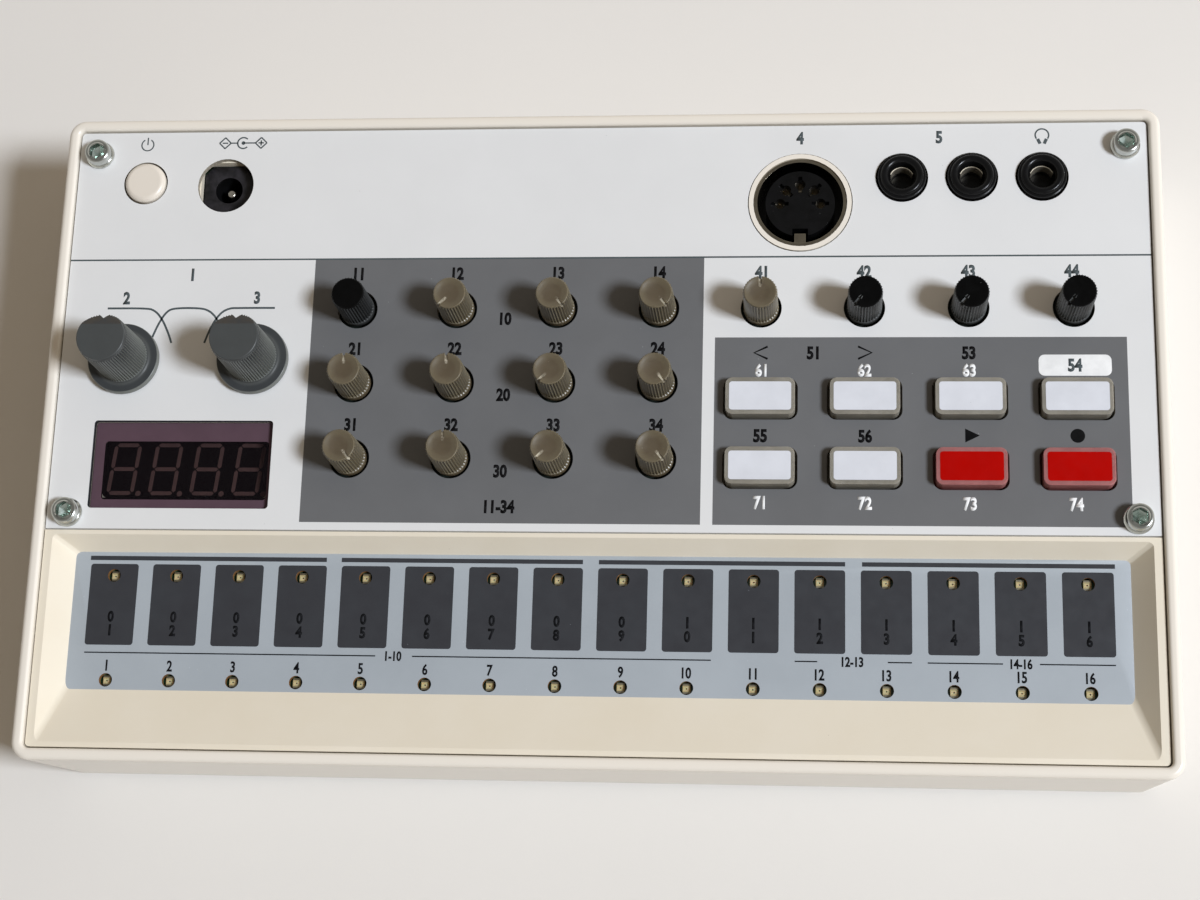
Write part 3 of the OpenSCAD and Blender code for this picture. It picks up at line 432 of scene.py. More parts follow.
def rounded_plate(name, width, depth, corner, low, high):
    """Thin plate with rounded corners, centred on the origin."""
    deselect()
    bpy.ops.mesh.primitive_plane_add(size=1)
    piece = named(name)
    edit_all(piece)
    bpy.ops.transform.resize(value=(width, depth, 1))
    bpy.ops.transform.translate(value=(0, 0, low))
    bpy.ops.mesh.bevel(offset=corner, segments=5, affect="VERTICES")
    bpy.ops.mesh.select_all(action="SELECT")
    bpy.ops.mesh.extrude_region_move(TRANSFORM_OT_translate={"value": (0, 0, high - low)})
    bpy.ops.mesh.select_all(action="SELECT")
    bpy.ops.mesh.normals_make_consistent(inside=False)
    bpy.ops.object.mode_set(mode="OBJECT")
    return piece


def groove(piece, count, depth, low, high):
    """Presses grooves between ribs into a round solid that has four points to each rib."""
    def inside(vertex):
        return low - NEAR <= vertex.co.z <= high + NEAR

    def place(vertex):
        turn = math.atan2(vertex.co.y, vertex.co.x) / (2 * math.pi)
        return round(turn * 4 * count) % 4 if inside(vertex) else None

    reach = max(math.hypot(v.co.x, v.co.y) for v in piece.data.vertices if inside(v))
    for spots, share in (((2,), 1.0), ((1, 3), 0.7)):
        pick(piece, "VERT", lambda vertex: place(vertex) in spots)
        scale = 1 - share * depth / reach
        bpy.ops.transform.resize(value=(scale, scale, 1), center_override=(0, 0, 0))
    bpy.ops.object.mode_set(mode="OBJECT")


def mark_painted_light(piece, value):
    """Keeps at each point, in the attribute thin, how much painted light it takes: 0 in the core, 1 on a rib's crest;
    the lighter colour stands for highlights and for light through thin plastic.
    """
    marks = piece.data.attributes.new("thin", "FLOAT", "POINT")
    for vertex, mark in zip(piece.data.vertices, marks.data):
        mark.value = min(1.0, max(0.0, value(math.hypot(vertex.co.x, vertex.co.y), vertex.co.z)))


# Print: flat shapes in mm on a surface, joined by ink

def flat(name, outline):
    """Flat face with an outline in mm."""
    mesh = bpy.data.meshes.new(name)
    mesh.from_pydata([(x * MM, y * MM, 0) for x, y in outline], [], [range(len(outline))])
    piece = bpy.data.objects.new(name, mesh)
    bpy.context.scene.collection.objects.link(piece)
    return piece


def ribbon(points, width):
    """Outline of an even line through points."""
    left, right = [], []
    for i, point in enumerate(points):
        ahead = Vector(points[min(i + 1, len(points) - 1)]) - Vector(points[max(i - 1, 0)])
        side = Vector((-ahead.y, ahead.x)).normalized() * width / 2
        left.append(tuple(Vector(point) + side))
        right.append(tuple(Vector(point) - side))
    return right + left[::-1]


def stroke(width, *points):
    """Flat even line through points."""
    return flat("stroke", ribbon(points, width))


def arc(x, y, radius, start, end, steps=24):
    """Points on an arc, its angles in degrees from +X."""
    return [(x + radius * math.cos(a), y + radius * math.sin(a))
            for a in (math.radians(start + (end - start) * i / steps) for i in range(steps + 1))]


def curve_through(points, steps=8):
    """Smooth line through points."""
    ends = [points[0], *points, points[-1]]
    line = []
    for a, b, c, d in zip(ends, ends[1:], ends[2:], ends[3:]):
        for i in range(steps):
            t = i / steps
            line.append(tuple(0.5 * (2 * q + (r - p) * t + (2 * p - 5 * q + 4 * r - s) * t * t
                                     + (3 * q - p - 3 * r + s) * t ** 3) for p, q, r, s in zip(a, b, c, d)))
    return line + [points[-1]]


def numeral(text, x, y, tall, narrow=0.8, weight=0.045):
    """Flat number centred on a place in mm."""
    deselect()
    bpy.ops.object.text_add()
    bpy.context.object.data.body = text
    bpy.context.object.data.offset = weight
    bpy.context.object.data.resolution_u = 3
    bpy.ops.object.convert(target="MESH")
    piece = named("numeral")
    spread = [[v.co[axis] for v in piece.data.vertices] for axis in (0, 1)]
    middle = [(max(row) + min(row)) / 2 for row in spread]
    scale = tall / (max(spread[1]) - min(spread[1]))
    piece.data.transform(Matrix.Translation((x * MM, y * MM, 0)) @ Matrix.Diagonal((scale * narrow, scale, 1, 1))
                         @ Matrix.Translation((-middle[0], -middle[1], 0)))
    return piece


def print_on(name, shapes, surface, material, slot):
    """Joins flat shapes to one thin film of ink on a surface of the body."""
    piece = join(name, shapes)
    set_down(piece, z=surface - INK_SINK)
    modify(piece, "SOLIDIFY", thickness=INK, offset=1.0)
    paint(piece, material)
    mount(piece, "root", slot)
    return piece


# Materials

# Specks of dust: solid share of a speck, how far it hides the colour below, share of the cells without one
SPECK_CORE, SPECK_COVER, SPECK_FREE = 0.4, 0.55, 0.55
# Patches of gloss are smaller than patches of colour by this factor
WEAR_SCALE = 2.7


def add_node(tree, kind, inputs, **settings):
    """Adds a node with its settings; an input is a value or another node's output."""
    node = tree.nodes.new(kind)
    for name, value in settings.items():
        setattr(node, name, value)
    for name, value in inputs.items():
        if isinstance(value, bpy.types.NodeSocket):
            tree.links.new(value, node.inputs[name])
        else:
            node.inputs[name].default_value = value
    return node


def surface(name, colour, tone, gloss, grain, depth, cloud=20, dust=None, stretch=None, thin=None, **constants):
    """Surface with clouded colour, uneven gloss and a fine grain, its lengths in mm.

    gloss is the lowest and highest roughness, dust a colour, a spacing and a size of specks, stretch the grain's
    scale along each axis, thin a lighter colour of painted light that shows where the piece's own attribute "thin"
    is high. The constants go straight to the shader's sockets, with _ for a blank.
    """
    material = bpy.data.materials.new(name)
    material.use_nodes = True
    tree = material.node_tree
    tree.nodes.clear()
    where = add_node(tree, "ShaderNodeTexCoord", {}).outputs["Object"]
    clouds = add_node(tree, "ShaderNodeTexNoise", {"Vector": where, "Scale": 1 / (cloud * MM), "Detail": 5.0,
                                                   "Roughness": 0.6})
    spread = add_node(tree, "ShaderNodeMapRange", {"Value": clouds.outputs[0], "From Min": 0.35, "From Max": 0.65})
    base = add_node(tree, "ShaderNodeMix", {"Factor": spread.outputs[0], 6: tuple(colour), 7: tuple(tone)},
                    data_type="RGBA").outputs[2]
    if dust:
        dust_colour, spacing, size = dust
        cells = add_node(tree, "ShaderNodeTexVoronoi", {"Vector": where, "Scale": 1 / (spacing * MM)})
        speck = add_node(tree, "ShaderNodeMapRange", {"Value": cells.outputs["Distance"],
                                                      "From Min": size / spacing,
                                                      "From Max": SPECK_CORE * size / spacing, "To Max": SPECK_COVER})
        few = add_node(tree, "ShaderNodeMath", {0: cells.outputs["Color"], 1: SPECK_FREE}, operation="GREATER_THAN")
        mask = add_node(tree, "ShaderNodeMath", {0: speck.outputs[0], 1: few.outputs[0]}, operation="MULTIPLY")
        base = add_node(tree, "ShaderNodeMix", {"Factor": mask.outputs[0], 6: base, 7: tuple(dust_colour)},
                        data_type="RGBA").outputs[2]
    # Painted light: the colour thin is laid over the base where the attribute thin is high
    if thin:
        wall = add_node(tree, "ShaderNodeAttribute", {}, attribute_name="thin")
        base = add_node(tree, "ShaderNodeMix", {"Factor": wall.outputs["Fac"], 6: base, 7: tuple(thin)},
                        data_type="RGBA").outputs[2]
    wear = add_node(tree, "ShaderNodeTexNoise", {"Vector": where, "Scale": WEAR_SCALE / (cloud * MM), "Detail": 6.0})
    rough = add_node(tree, "ShaderNodeMapRange", {"Value": wear.outputs[0], "From Min": 0.3, "From Max": 0.7,
                                                  "To Min": gloss[0], "To Max": gloss[1]})
    laid = where
    if stretch:
        laid = add_node(tree, "ShaderNodeMapping", {"Vector": where, "Scale": stretch}).outputs[0]
    fine = add_node(tree, "ShaderNodeTexNoise", {"Vector": laid, "Scale": 1 / (grain * MM), "Detail": 3.0})
    relief = add_node(tree, "ShaderNodeBump", {"Height": fine.outputs[0], "Distance": depth * MM, "Strength": 1.0})
    shader = add_node(tree, "ShaderNodeBsdfPrincipled", {
        "Base Color": base, "Roughness": rough.outputs[0], "Normal": relief.outputs[0],
        **{key.replace("_", " "): value for key, value in constants.items()}})
    add_node(tree, "ShaderNodeOutputMaterial", {"Surface": shader.outputs[0]})
    return material


def gloss_abs(look):
    """Moulded gloss ABS: an even warm white that has yellowed a little, with soft reflections and a few specks."""
    return surface("ABS, moulded, gloss warm white", look.white, look.white_tone, (0.262, 0.27), 0.9, 0.0003,
                   cloud=90, dust=(linear("#b5ac99"), 6, 0.12), IOR=1.53)


def cream_abs(look):
    """Moulded satin ABS: cream, with a very fine sparked texture that widens its highlights."""
    return surface("ABS, moulded, satin cream", look.cream, look.cream_tone, (0.34, 0.46), 0.25, 0.003,
                   dust=(linear("#a39782"), 5, 0.12), IOR=1.53)


def foot_rubber(look):
    """Moulded rubber: dark, dull, with a faint bloom."""
    return surface("Rubber, moulded, dark grey", look.rubber, linear("#303034"), (0.6, 0.78), 0.3, 0.01,
                   cloud=4, IOR=1.52)


def panel_enamel(look):
    """Enamelled laminate: cool white, smooth, with dust in it."""
    return surface("Enamel, sprayed, cool white", look.white, look.white_tone, (0.3, 0.42), 0.5, 0.003,
                   dust=(linear("#8f9090"), 3.2, 0.09), IOR=1.5)


def grey_print(look):
    """Screen-printed ink: mid grey, slightly dull, with pale dust that shows on it."""
    return surface("Ink, screen-printed, mid grey", look.grey, look.grey_tone, (0.38, 0.5), 0.3, 0.002,
                   dust=(linear("#c9cac8"), 2.6, 0.08), IOR=1.5, Specular_IOR_Level=0.25)


def ink(name, colour):
    """Screen-printed ink: one thin even coat, a little duller than what it lies on."""
    pale = [min(1.0, 1.15 * c + 0.004) for c in colour]
    return surface(f"Ink, screen-printed, {name}", colour, pale, (0.45, 0.6), 0.3, 0.002, cloud=3,
                   IOR=1.5, Specular_IOR_Level=0.06)


def cut_laminate(name, colour):
    """Routed laminate edge: brown, rough, with layers along the board."""
    dark = [0.55 * c for c in colour]
    return surface(name, colour, dark, (0.5, 0.7), 0.12, 0.02, cloud=0.5, stretch=(1, 1, 5))


def strip_film(look):
    """Printed polyester film: blue-grey, satin, with fine dust."""
    return surface("Polyester film, printed, blue-grey", look.film, look.film_tone, (0.36, 0.48), 0.3,
                   0.002, dust=(linear("#dfe4ea"), 2.4, 0.08), IOR=1.57)


def pad_ink(look):
    """Printed pads: charcoal, satin, dusty, with faint rubbed patches where fingers touch."""
    return surface("Ink, screen-printed, charcoal", look.pad, look.pad_tone, (0.32, 0.46), 0.3, 0.002,
                   cloud=6, dust=(linear("#aab0b8"), 1.9, 0.08), IOR=1.55, Specular_IOR_Level=0.25)


def board_mask(look):
    """Solder mask on a glass-fibre board: glossy green with a faint weave."""
    dark = [0.7 * c for c in look.board]
    return surface("Glass-fibre board, green solder mask", look.board, dark, (0.22, 0.36), 0.5, 0.01,
                   cloud=2, IOR=1.55)


def smoke_plastic(look):
    """Tinted polycarbonate, moulded: smoky and translucent; the light that bleeds through its ribs, rim and slot is
    painted in as lighter colours.
    """
    return surface("Polycarbonate, moulded, smoke", look.smoke, look.smoke_tone, (0.3, 0.4), 0.4, 0.0005,
                   cloud=3, dust=(linear("#d8d3c5"), 1.6, 0.07), thin=look.smoke_thin, IOR=1.58,
                   Subsurface_Weight=0.25, Subsurface_Radius=(1.0, 0.9, 0.7), Subsurface_Scale=0.6 * MM)


def pointer_highlight_plastic(look):
    """The same plastic in the pointer's thin slot, with a painted highlight: a pale colour on the slot's walls."""
    return surface("Polycarbonate, moulded, slot highlight", look.pointer, look.smoke, (0.25, 0.4), 0.4, 0.004,
                   cloud=1.5, IOR=1.58)


# thin, when given, is a lighter colour of painted highlights, laid where the piece's attribute thin is high
def hard_plastic(name, colour, tone, gloss, speck, thin=None, shine=0.2):
    """Moulded hard plastic: dark and satin, with dust that shows on it."""
    return surface(name, colour, tone, gloss, 0.3, 0.0006, cloud=3, thin=thin,
                   dust=(linear(speck), 1.8, 0.07), IOR=1.53, Specular_IOR_Level=shine)


def silicone(name, colour, tone):
    """Moulded silicone rubber: milky, soft in its light, with a dull bloom."""
    return surface(name, colour, tone, (0.45, 0.6), 0.25, 0.006, cloud=4, IOR=1.41,
                   Subsurface_Weight=0.5, Subsurface_Radius=(1.0, 0.9, 0.8), Subsurface_Scale=1.5 * MM)


def key_print(name, colour):
    """Printed key top: a flat satin coat on silicone, rubbed a little."""
    rubbed = [0.93 * c for c in colour]
    return surface(name, colour, rubbed, (0.35, 0.5), 0.2, 0.003, cloud=5,
                   dust=(linear("#6d6f72"), 2.2, 0.07), IOR=1.5, Specular_IOR_Level=0.06)


def plated(name, colour, gloss=(0.22, 0.36), grain=0.3, stretch=None):
    """Plated metal: bright, with fine drawing marks and a faint stain."""
    stain = [0.8 * c for c in colour]
    return surface(name, colour, stain, gloss, grain, 0.0008, cloud=2, stretch=stretch, Metallic=1.0)


# Operators

class SEQUENCER_OT_case(bpy.types.Operator):
    """Gloss case, battery cover, cream front frame and rubber feet"""
    bl_idname = "sequencer.case"
    bl_label = "Case"
    # In mm: gap between frame and rim, lap of the slopes over the strip
    RIM_GAP, LAP = 0.35, 1.0
    # Rear edge of the recess in mm: place, half length, least height over the strip
    LEDGE, LEDGE_HALF, LEDGE_RISE = -19.4, 93.5, 2.5
    # White collar of the round socket in mm: radius, depth from its top
    COLLAR, COLLAR_DEPTH = 9.5, 1.3

    def shell(self, look, white):
        case = copy_of("bottom_case")
        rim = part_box("bottom_case")[1].z - 2 * NEAR
        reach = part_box("front_frame")[1] + Vector((self.RIM_GAP, self.RIM_GAP, 0)) * MM
        round_edges(case, lambda *ends: all(end.z > rim and abs(end.x) < reach.x and abs(end.y) < reach.y
                                            for end in ends), look.rim_edge, 4)
        soften(case, look.edge, 3, split=True)
        level(case)
        paint(case, white)
        mount(case, "root", SLOT["bottom_case"], "bottom_case")

    def recess(self, look, white):
        piece = copy_of("front_frame")
        pick(piece, "VERT", lambda vertex: abs(vertex.co.y - self.LEDGE * MM) < 0.3 * MM
             and abs(vertex.co.x) < self.LEDGE_HALF * MM and vertex.co.z > STRIP_TOP + self.LEDGE_RISE * MM)
        bpy.ops.transform.translate(value=(0, look.rear_ledge, 0))
        bpy.ops.object.mode_set(mode="OBJECT")
        low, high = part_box("touch_plate")
        lap = self.LAP * MM
        corners = [Vector((x, y, STRIP_TOP)) for x in (low.x + lap, high.x - lap) for y in (low.y + lap, high.y - lap)]

        def is_mitre(start, end):
            foot = min(start, end, key=lambda place: place.z)
            return abs(start.z - end.z) > MM and any((foot - corner).length < 0.4 * MM for corner in corners)

        round_edges(piece, is_mitre, look.recess_corner, 4)
        soften(piece, look.frame_edge, 3, 15)
        level(piece)
        # Painted shade: the frame's faces below the window are painted near black, so that no lit edge shows round the
        # digits
        well = surface("ABS, painted_shade_black, display well", linear("#0b0a0b"), linear("#0f0d0f"), (0.5, 0.6), 0.3,
                       0.002, cloud=3, Specular_IOR_Level=0.1)
        paint(piece, cream_abs(look), white, well)
        low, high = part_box("din_shell")
        socket = (low + high) / 2
        pane_low, pane_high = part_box("display_window")
        for face in piece.data.polygons:
            x, y, z = face.center
            ring = (math.hypot(x - socket.x, y - socket.y) < self.COLLAR * MM
                    and z > high.z - self.COLLAR_DEPTH * MM)
            # Faces of the well below the window take the painted shade, index 2
            below = (pane_low.x < x < pane_high.x and pane_low.y < y < pane_high.y and z <= pane_low.z + 0.1 * MM
                     and face.normal.z < 0.98)
            face.material_index = 2 if below else int(ring)
        mount(piece, "root", SLOT["front_frame"], "front_frame")

    def execute(self, context):
        look = context.scene.sequencer.case
        white = gloss_abs(look)
        self.shell(look, white)
        dress("battery_cover", white, 0.8 * look.edge)
        self.recess(look, white)
        dress("rubber_feet", foot_rubber(look), look.foot_edge, 3)
        return {"FINISHED"}


class SEQUENCER_OT_panel(bpy.types.Operator):
    """Panel with its printed grey areas, divider line and bare hole edges"""
    bl_idname = "sequencer.panel"
    bl_label = "Panel"
    # Grey areas in mm: left, right, front, rear
    AREAS = ((-49.85, 18.5, -16.38, 31.0), (20.55, 89.7, -16.38, 16.45))
    MARGIN = 0.5

    def part(self, face, look, plate, pane):
        """Which finish a face takes: 0 enamel, 1 grey print, 2 dark ink, 3 cut edge."""
        x, y = face.center.x, face.center.y

        def depth(low, high):
            return min(x - low.x, high.x - x, y - low.y, high.y - y) / MM

        if face.normal.z < 0.4:
            if depth(*plate) <= self.MARGIN:
                return 0
            # The walls of the display window's hole take the dark ink as painted shade, a dark outline round the
            # window
            return 2 if depth(*pane) > -self.MARGIN else 3
        if abs(y - look.divider) < look.line / 2:
            return 2
        return int(any(a * MM < x < b * MM and c * MM < y < d * MM for a, b, c, d in self.AREAS))

    def execute(self, context):
        look = context.scene.sequencer.panel
        panel = copy_of("top_panel")
        soften(panel, look.edge, 1)
        cuts = {(axis, value * MM) for area in self.AREAS for axis, value in zip((0, 0, 1, 1), area)}
        cuts.update({(1, look.divider - look.line / 2), (1, look.divider + look.line / 2)})
        for axis, value in sorted(cuts):
            across = Vector((axis == 0, axis == 1, 0))
            edit_all(panel)
            bpy.ops.mesh.bisect(plane_co=across * value, plane_no=across)
        bpy.ops.object.mode_set(mode="OBJECT")
        paint(panel, panel_enamel(look), grey_print(look), ink("dark grey", look.dark),
              cut_laminate("Laminate, routed edge", look.cut))
        plate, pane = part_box("top_panel"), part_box("display_window")
        for face in panel.data.polygons:
            face.material_index = self.part(face, look, plate, pane)
        mount(panel, "root", SLOT["top_panel"], "top_panel")
        return {"FINISHED"}


class SEQUENCER_OT_panel_print(bpy.types.Operator):
    """Numbers, signs and tone curves printed on the panel"""
    bl_idname = "sequencer.panel_print"
    bl_label = "Panel print"
    # Numbers and their places in mm, by ink
    BLACK = (("11", -42.0, 28.2), ("12", -24.4, 28.2), ("13", -6.7, 28.2), ("14", 10.9, 28.2),
             ("21", -42.0, 14.5), ("22", -24.4, 14.5), ("23", -6.8, 14.5), ("24", 10.8, 14.5),
             ("31", -42.0, 0.85), ("32", -24.4, 0.85), ("33", -6.8, 0.85), ("34", 10.8, 0.85),
             ("10", -15.7, 19.9), ("20", -15.6, 6.2), ("30", -15.6, -7.3), ("11-34", -15.5, -13.5),
             ("51", 37.2, 13.65), ("53", 63.4, 13.65), ("55", 28.4, -0.95), ("56", 46.0, -0.95))
    WHITE = (("61", 28.4, 10.6), ("62", 45.9, 10.6), ("63", 63.4, 10.6),
             ("71", 28.3, -12.55), ("72", 45.9, -12.55), ("73", 63.2, -12.55), ("74", 80.6, -12.55))
    DARK = (("41", 28.3, 28.2), ("42", 45.9, 28.2), ("43", 63.5, 28.2), ("44", 80.9, 28.2),
            ("1", -71.8, 28.2), ("2", -83.4, 23.9), ("3", -59.9, 23.9), ("4", 34.9, 52.9), ("5", 58.9, 52.8))
    # White plate with its number, in mm: place, width, depth, corner
    PLATE, PLATE_SIZE = ("54", 81.0, 11.47), (12.06, 3.7, 1.0)
    # Black signs in mm: two arrows, play sign, record sign
    ARROWS = (((29.55, 14.8), (27.25, 13.7), (29.55, 12.6)), ((44.85, 14.8), (47.15, 13.7), (44.85, 12.6)))
    PLAY = ((62.6, -2.0), (65.0, -0.8), (62.6, 0.4))
    RECORD = (81.1, -0.8, 1.2, 0, 355, 71)
    # Dark signs in mm: width and points of a line, width and arc of a ring, a dot, the middles of two diamonds
    CURVES = (((-86.7, 22.0), (-80.2, 21.95), (-78.2, 21.5), (-76.7, 19.9), (-75.4, 17.4), (-74.7, 15.6)),
              ((-78.4, 16.1), (-77.2, 19.2), (-75.9, 21.3), (-74.2, 21.95), (-70.2, 21.95), (-68.3, 21.4),
               (-66.9, 20.0), (-65.8, 17.6)),
              ((-68.8, 15.6), (-67.8, 18.4), (-66.4, 20.8), (-64.8, 21.85), (-62.5, 22.0), (-56.6, 22.0)))
    STROKES = ((0.22, (-82.0, 52.9), (-82.0, 54.3)), (0.24, (-61.2, 52.6), (-61.2, 53.6)),
               (0.24, (-66.7, 53.1), (-65.5, 53.1)), (0.24, (-64.4, 53.1), (-62.25, 53.1)),
               (0.55, (75.75, 52.3), (76.15, 51.4)), (0.55, (77.25, 52.3), (76.85, 51.4)))
    RINGS = ((0.22, (-82.0, 52.9, 1.1, 120, 420)), (0.26, (-64.45, 53.1, 1.05, 45, 315)),
             (0.26, (76.5, 53.0, 1.15, -35, 215)))
    DOT = (-64.45, 53.1, 0.34, 0, 340, 17)
    DIAMONDS = ((-67.75, 53.1), (-61.2, 53.1))
    THIN, MEDIUM = 0.24, 0.36

    def diamond(self, x, y):
        corners = [(x - 1.05, y), (x, y - 1.05), (x + 1.05, y), (x, y + 1.05), (x - 1.05, y)]
        return [stroke(self.THIN, a, b) for a, b in [*zip(corners, corners[1:]), ((x - 0.5, y), (x + 0.5, y))]]

    def execute(self, context):
        look = context.scene.sequencer.panel
        slot = SLOT["top_panel"]

        def numbers(rows):
            return [numeral(text, x, y, look.cap) for text, x, y in rows]

        black = numbers(self.BLACK)
        black += [stroke(self.MEDIUM, *points) for points in self.ARROWS]
        black += [flat("play_sign", self.PLAY), flat("record_sign", arc(*self.RECORD))]
        print_on("panel_print_black", black, PANEL_TOP, ink("black", look.black), slot)
        print_on("panel_print_white", numbers(self.WHITE), PANEL_TOP, ink("white", look.paper), slot)
        plate = rounded_plate("panel_print_plate", *[size * MM for size in self.PLATE_SIZE], -INK_SINK, INK)
        set_down(plate, self.PLATE[1] * MM, self.PLATE[2] * MM, PANEL_TOP)
        paint(plate, ink("plate white", look.paper))
        mount(plate, "root", slot)
        dark = numbers(self.DARK)
        dark += [stroke(self.MEDIUM, *curve_through(points)) for points in self.CURVES]
        dark += [stroke(width, *points) for width, *points in self.STROKES]
        dark += [stroke(width, *arc(*ring)) for width, ring in self.RINGS]
        dark.append(flat("polarity_dot", arc(*self.DOT)))
        dark += [side for middle in self.DIAMONDS for side in self.diamond(*middle)]
        dark_ink = ink("dark grey lettering", look.dark)
        print_on("panel_print_dark", dark, PANEL_TOP, dark_ink, slot)
        print_on("panel_print_plate_number", numbers([self.PLATE]), PANEL_TOP + INK, dark_ink, slot)
        return {"FINISHED"}


class SEQUENCER_OT_display(bpy.types.Operator):
    """Tinted window and the four unlit digits below it"""
    bl_idname = "sequencer.display"
    bl_label = "Display"
    DIGITS = 4
    # In mm: gap between segments, shift of the digits, place of a point beside and below its digit
    GAP, SHIFT, POINT = 0.13, (-0.05, 0.05), (1.15, -0.05)
    # Printed margin in mm, broad at the rear and narrow on the right: left, right, front, rear
    MARGIN = (1.8, 0.65, 1.66, 3.35)

    def segments(self, look):
        """Outlines in mm of a digit's seven segments and its point, round the digit's middle."""
        half_w = (look.digit_width - look.segment) / MM / 2
        half_h = (look.digit_height - look.segment) / MM / 2
        thick = look.segment / MM / 2
        bars = [((-half_w, y), (half_w, y)) for y in (-half_h, 0, half_h)]
        bars += [((x, y), (x, y + half_h)) for x in (-half_w, half_w) for y in (-half_h, 0)]
        outlines = []
        for start, end in bars:
            along = (Vector(end) - Vector(start)).normalized()
            side = Vector((-along.y, along.x)) * thick
            a, b = Vector(start) + along * self.GAP, Vector(end) - along * self.GAP
            outlines.append([a, a + along * thick - side, b - along * thick - side, b,
                             b - along * thick + side, a + along * thick + side])
        outlines.append([Vector(place) for place in arc(half_w + self.POINT[0], -half_h + self.POINT[1],
                                                        look.point / MM / 2, 0, 350, 35)])
        return [[(p.x + math.tan(look.lean) * p.y, p.y) for p in outline] for outline in outlines]

    def execute(self, context):
        look = context.scene.sequencer.display
        face = surface("Epoxy, cast, black display face", look.face, look.face_tone, (0.35, 0.5), 0.4,
                       0.003, cloud=3, IOR=1.55, Specular_IOR_Level=0.1)
        dress("display_module", face, 0.2 * MM)
        low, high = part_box("display_module")
        middle = (low + high) / 2 / MM
        digits = []
        for i in range(self.DIGITS):
            x = middle.x + (i - (self.DIGITS - 1) / 2) * look.digit_pitch / MM + self.SHIFT[0]
            digits += [flat("segment", [(x + px, middle.y + self.SHIFT[1] + py) for px, py in outline])
                       for outline in self.segments(look)]
        milky = surface("Epoxy, cast, milky segments", look.diffuser, [0.8 * c for c in look.diffuser], (0.4, 0.55),
                        0.3, 0.003, cloud=1.5, IOR=1.55, Specular_IOR_Level=0.1)
        print_on("display_digits", digits, high.z, milky, SLOT["display_module"])
        low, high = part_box("display_window")

        def pane(name, sides, corner, under, over):
            """Rounded plate under the window, inside its edges by the given sides."""
            left, right, front, rear = (low.x + sides[0] * MM, high.x - sides[1] * MM, low.y + sides[2] * MM,
                                        high.y - sides[3] * MM)
            plate = rounded_plate(name, right - left, rear - front, corner, under, over)
            return set_down(plate, (left + right) / 2, (front + rear) / 2, low.z)

        mask = pane("display_mask", (0, 0, 0, 0), 0.6 * MM, -INK_SINK, INK)
        carve(mask, pane("mask_hole", self.MARGIN, look.mask_corner, -MM, MM))
        paint(mask, surface("Film, printed, purple-brown mask", look.mask, [0.9 * c for c in look.mask], (0.5, 0.6),
                            0.3, 0.003, cloud=4, Specular_IOR_Level=0.1))
        mount(mask, "root", SLOT["display_window"])
        # Tinted acrylic: half see-through, glossy, with dust; its alpha is one value
        acrylic = surface("Acrylic, tinted, purple-brown", look.acrylic, [0.85 * c for c in look.acrylic],
                          (0.05, 0.12), 4, 0.002, dust=(linear("#cfc6c6"), 1.7, 0.08), IOR=1.49,
                          Alpha=0.34, Specular_IOR_Level=0.3)
        dress("display_window", acrylic, 0.15 * MM)
        return {"FINISHED"}


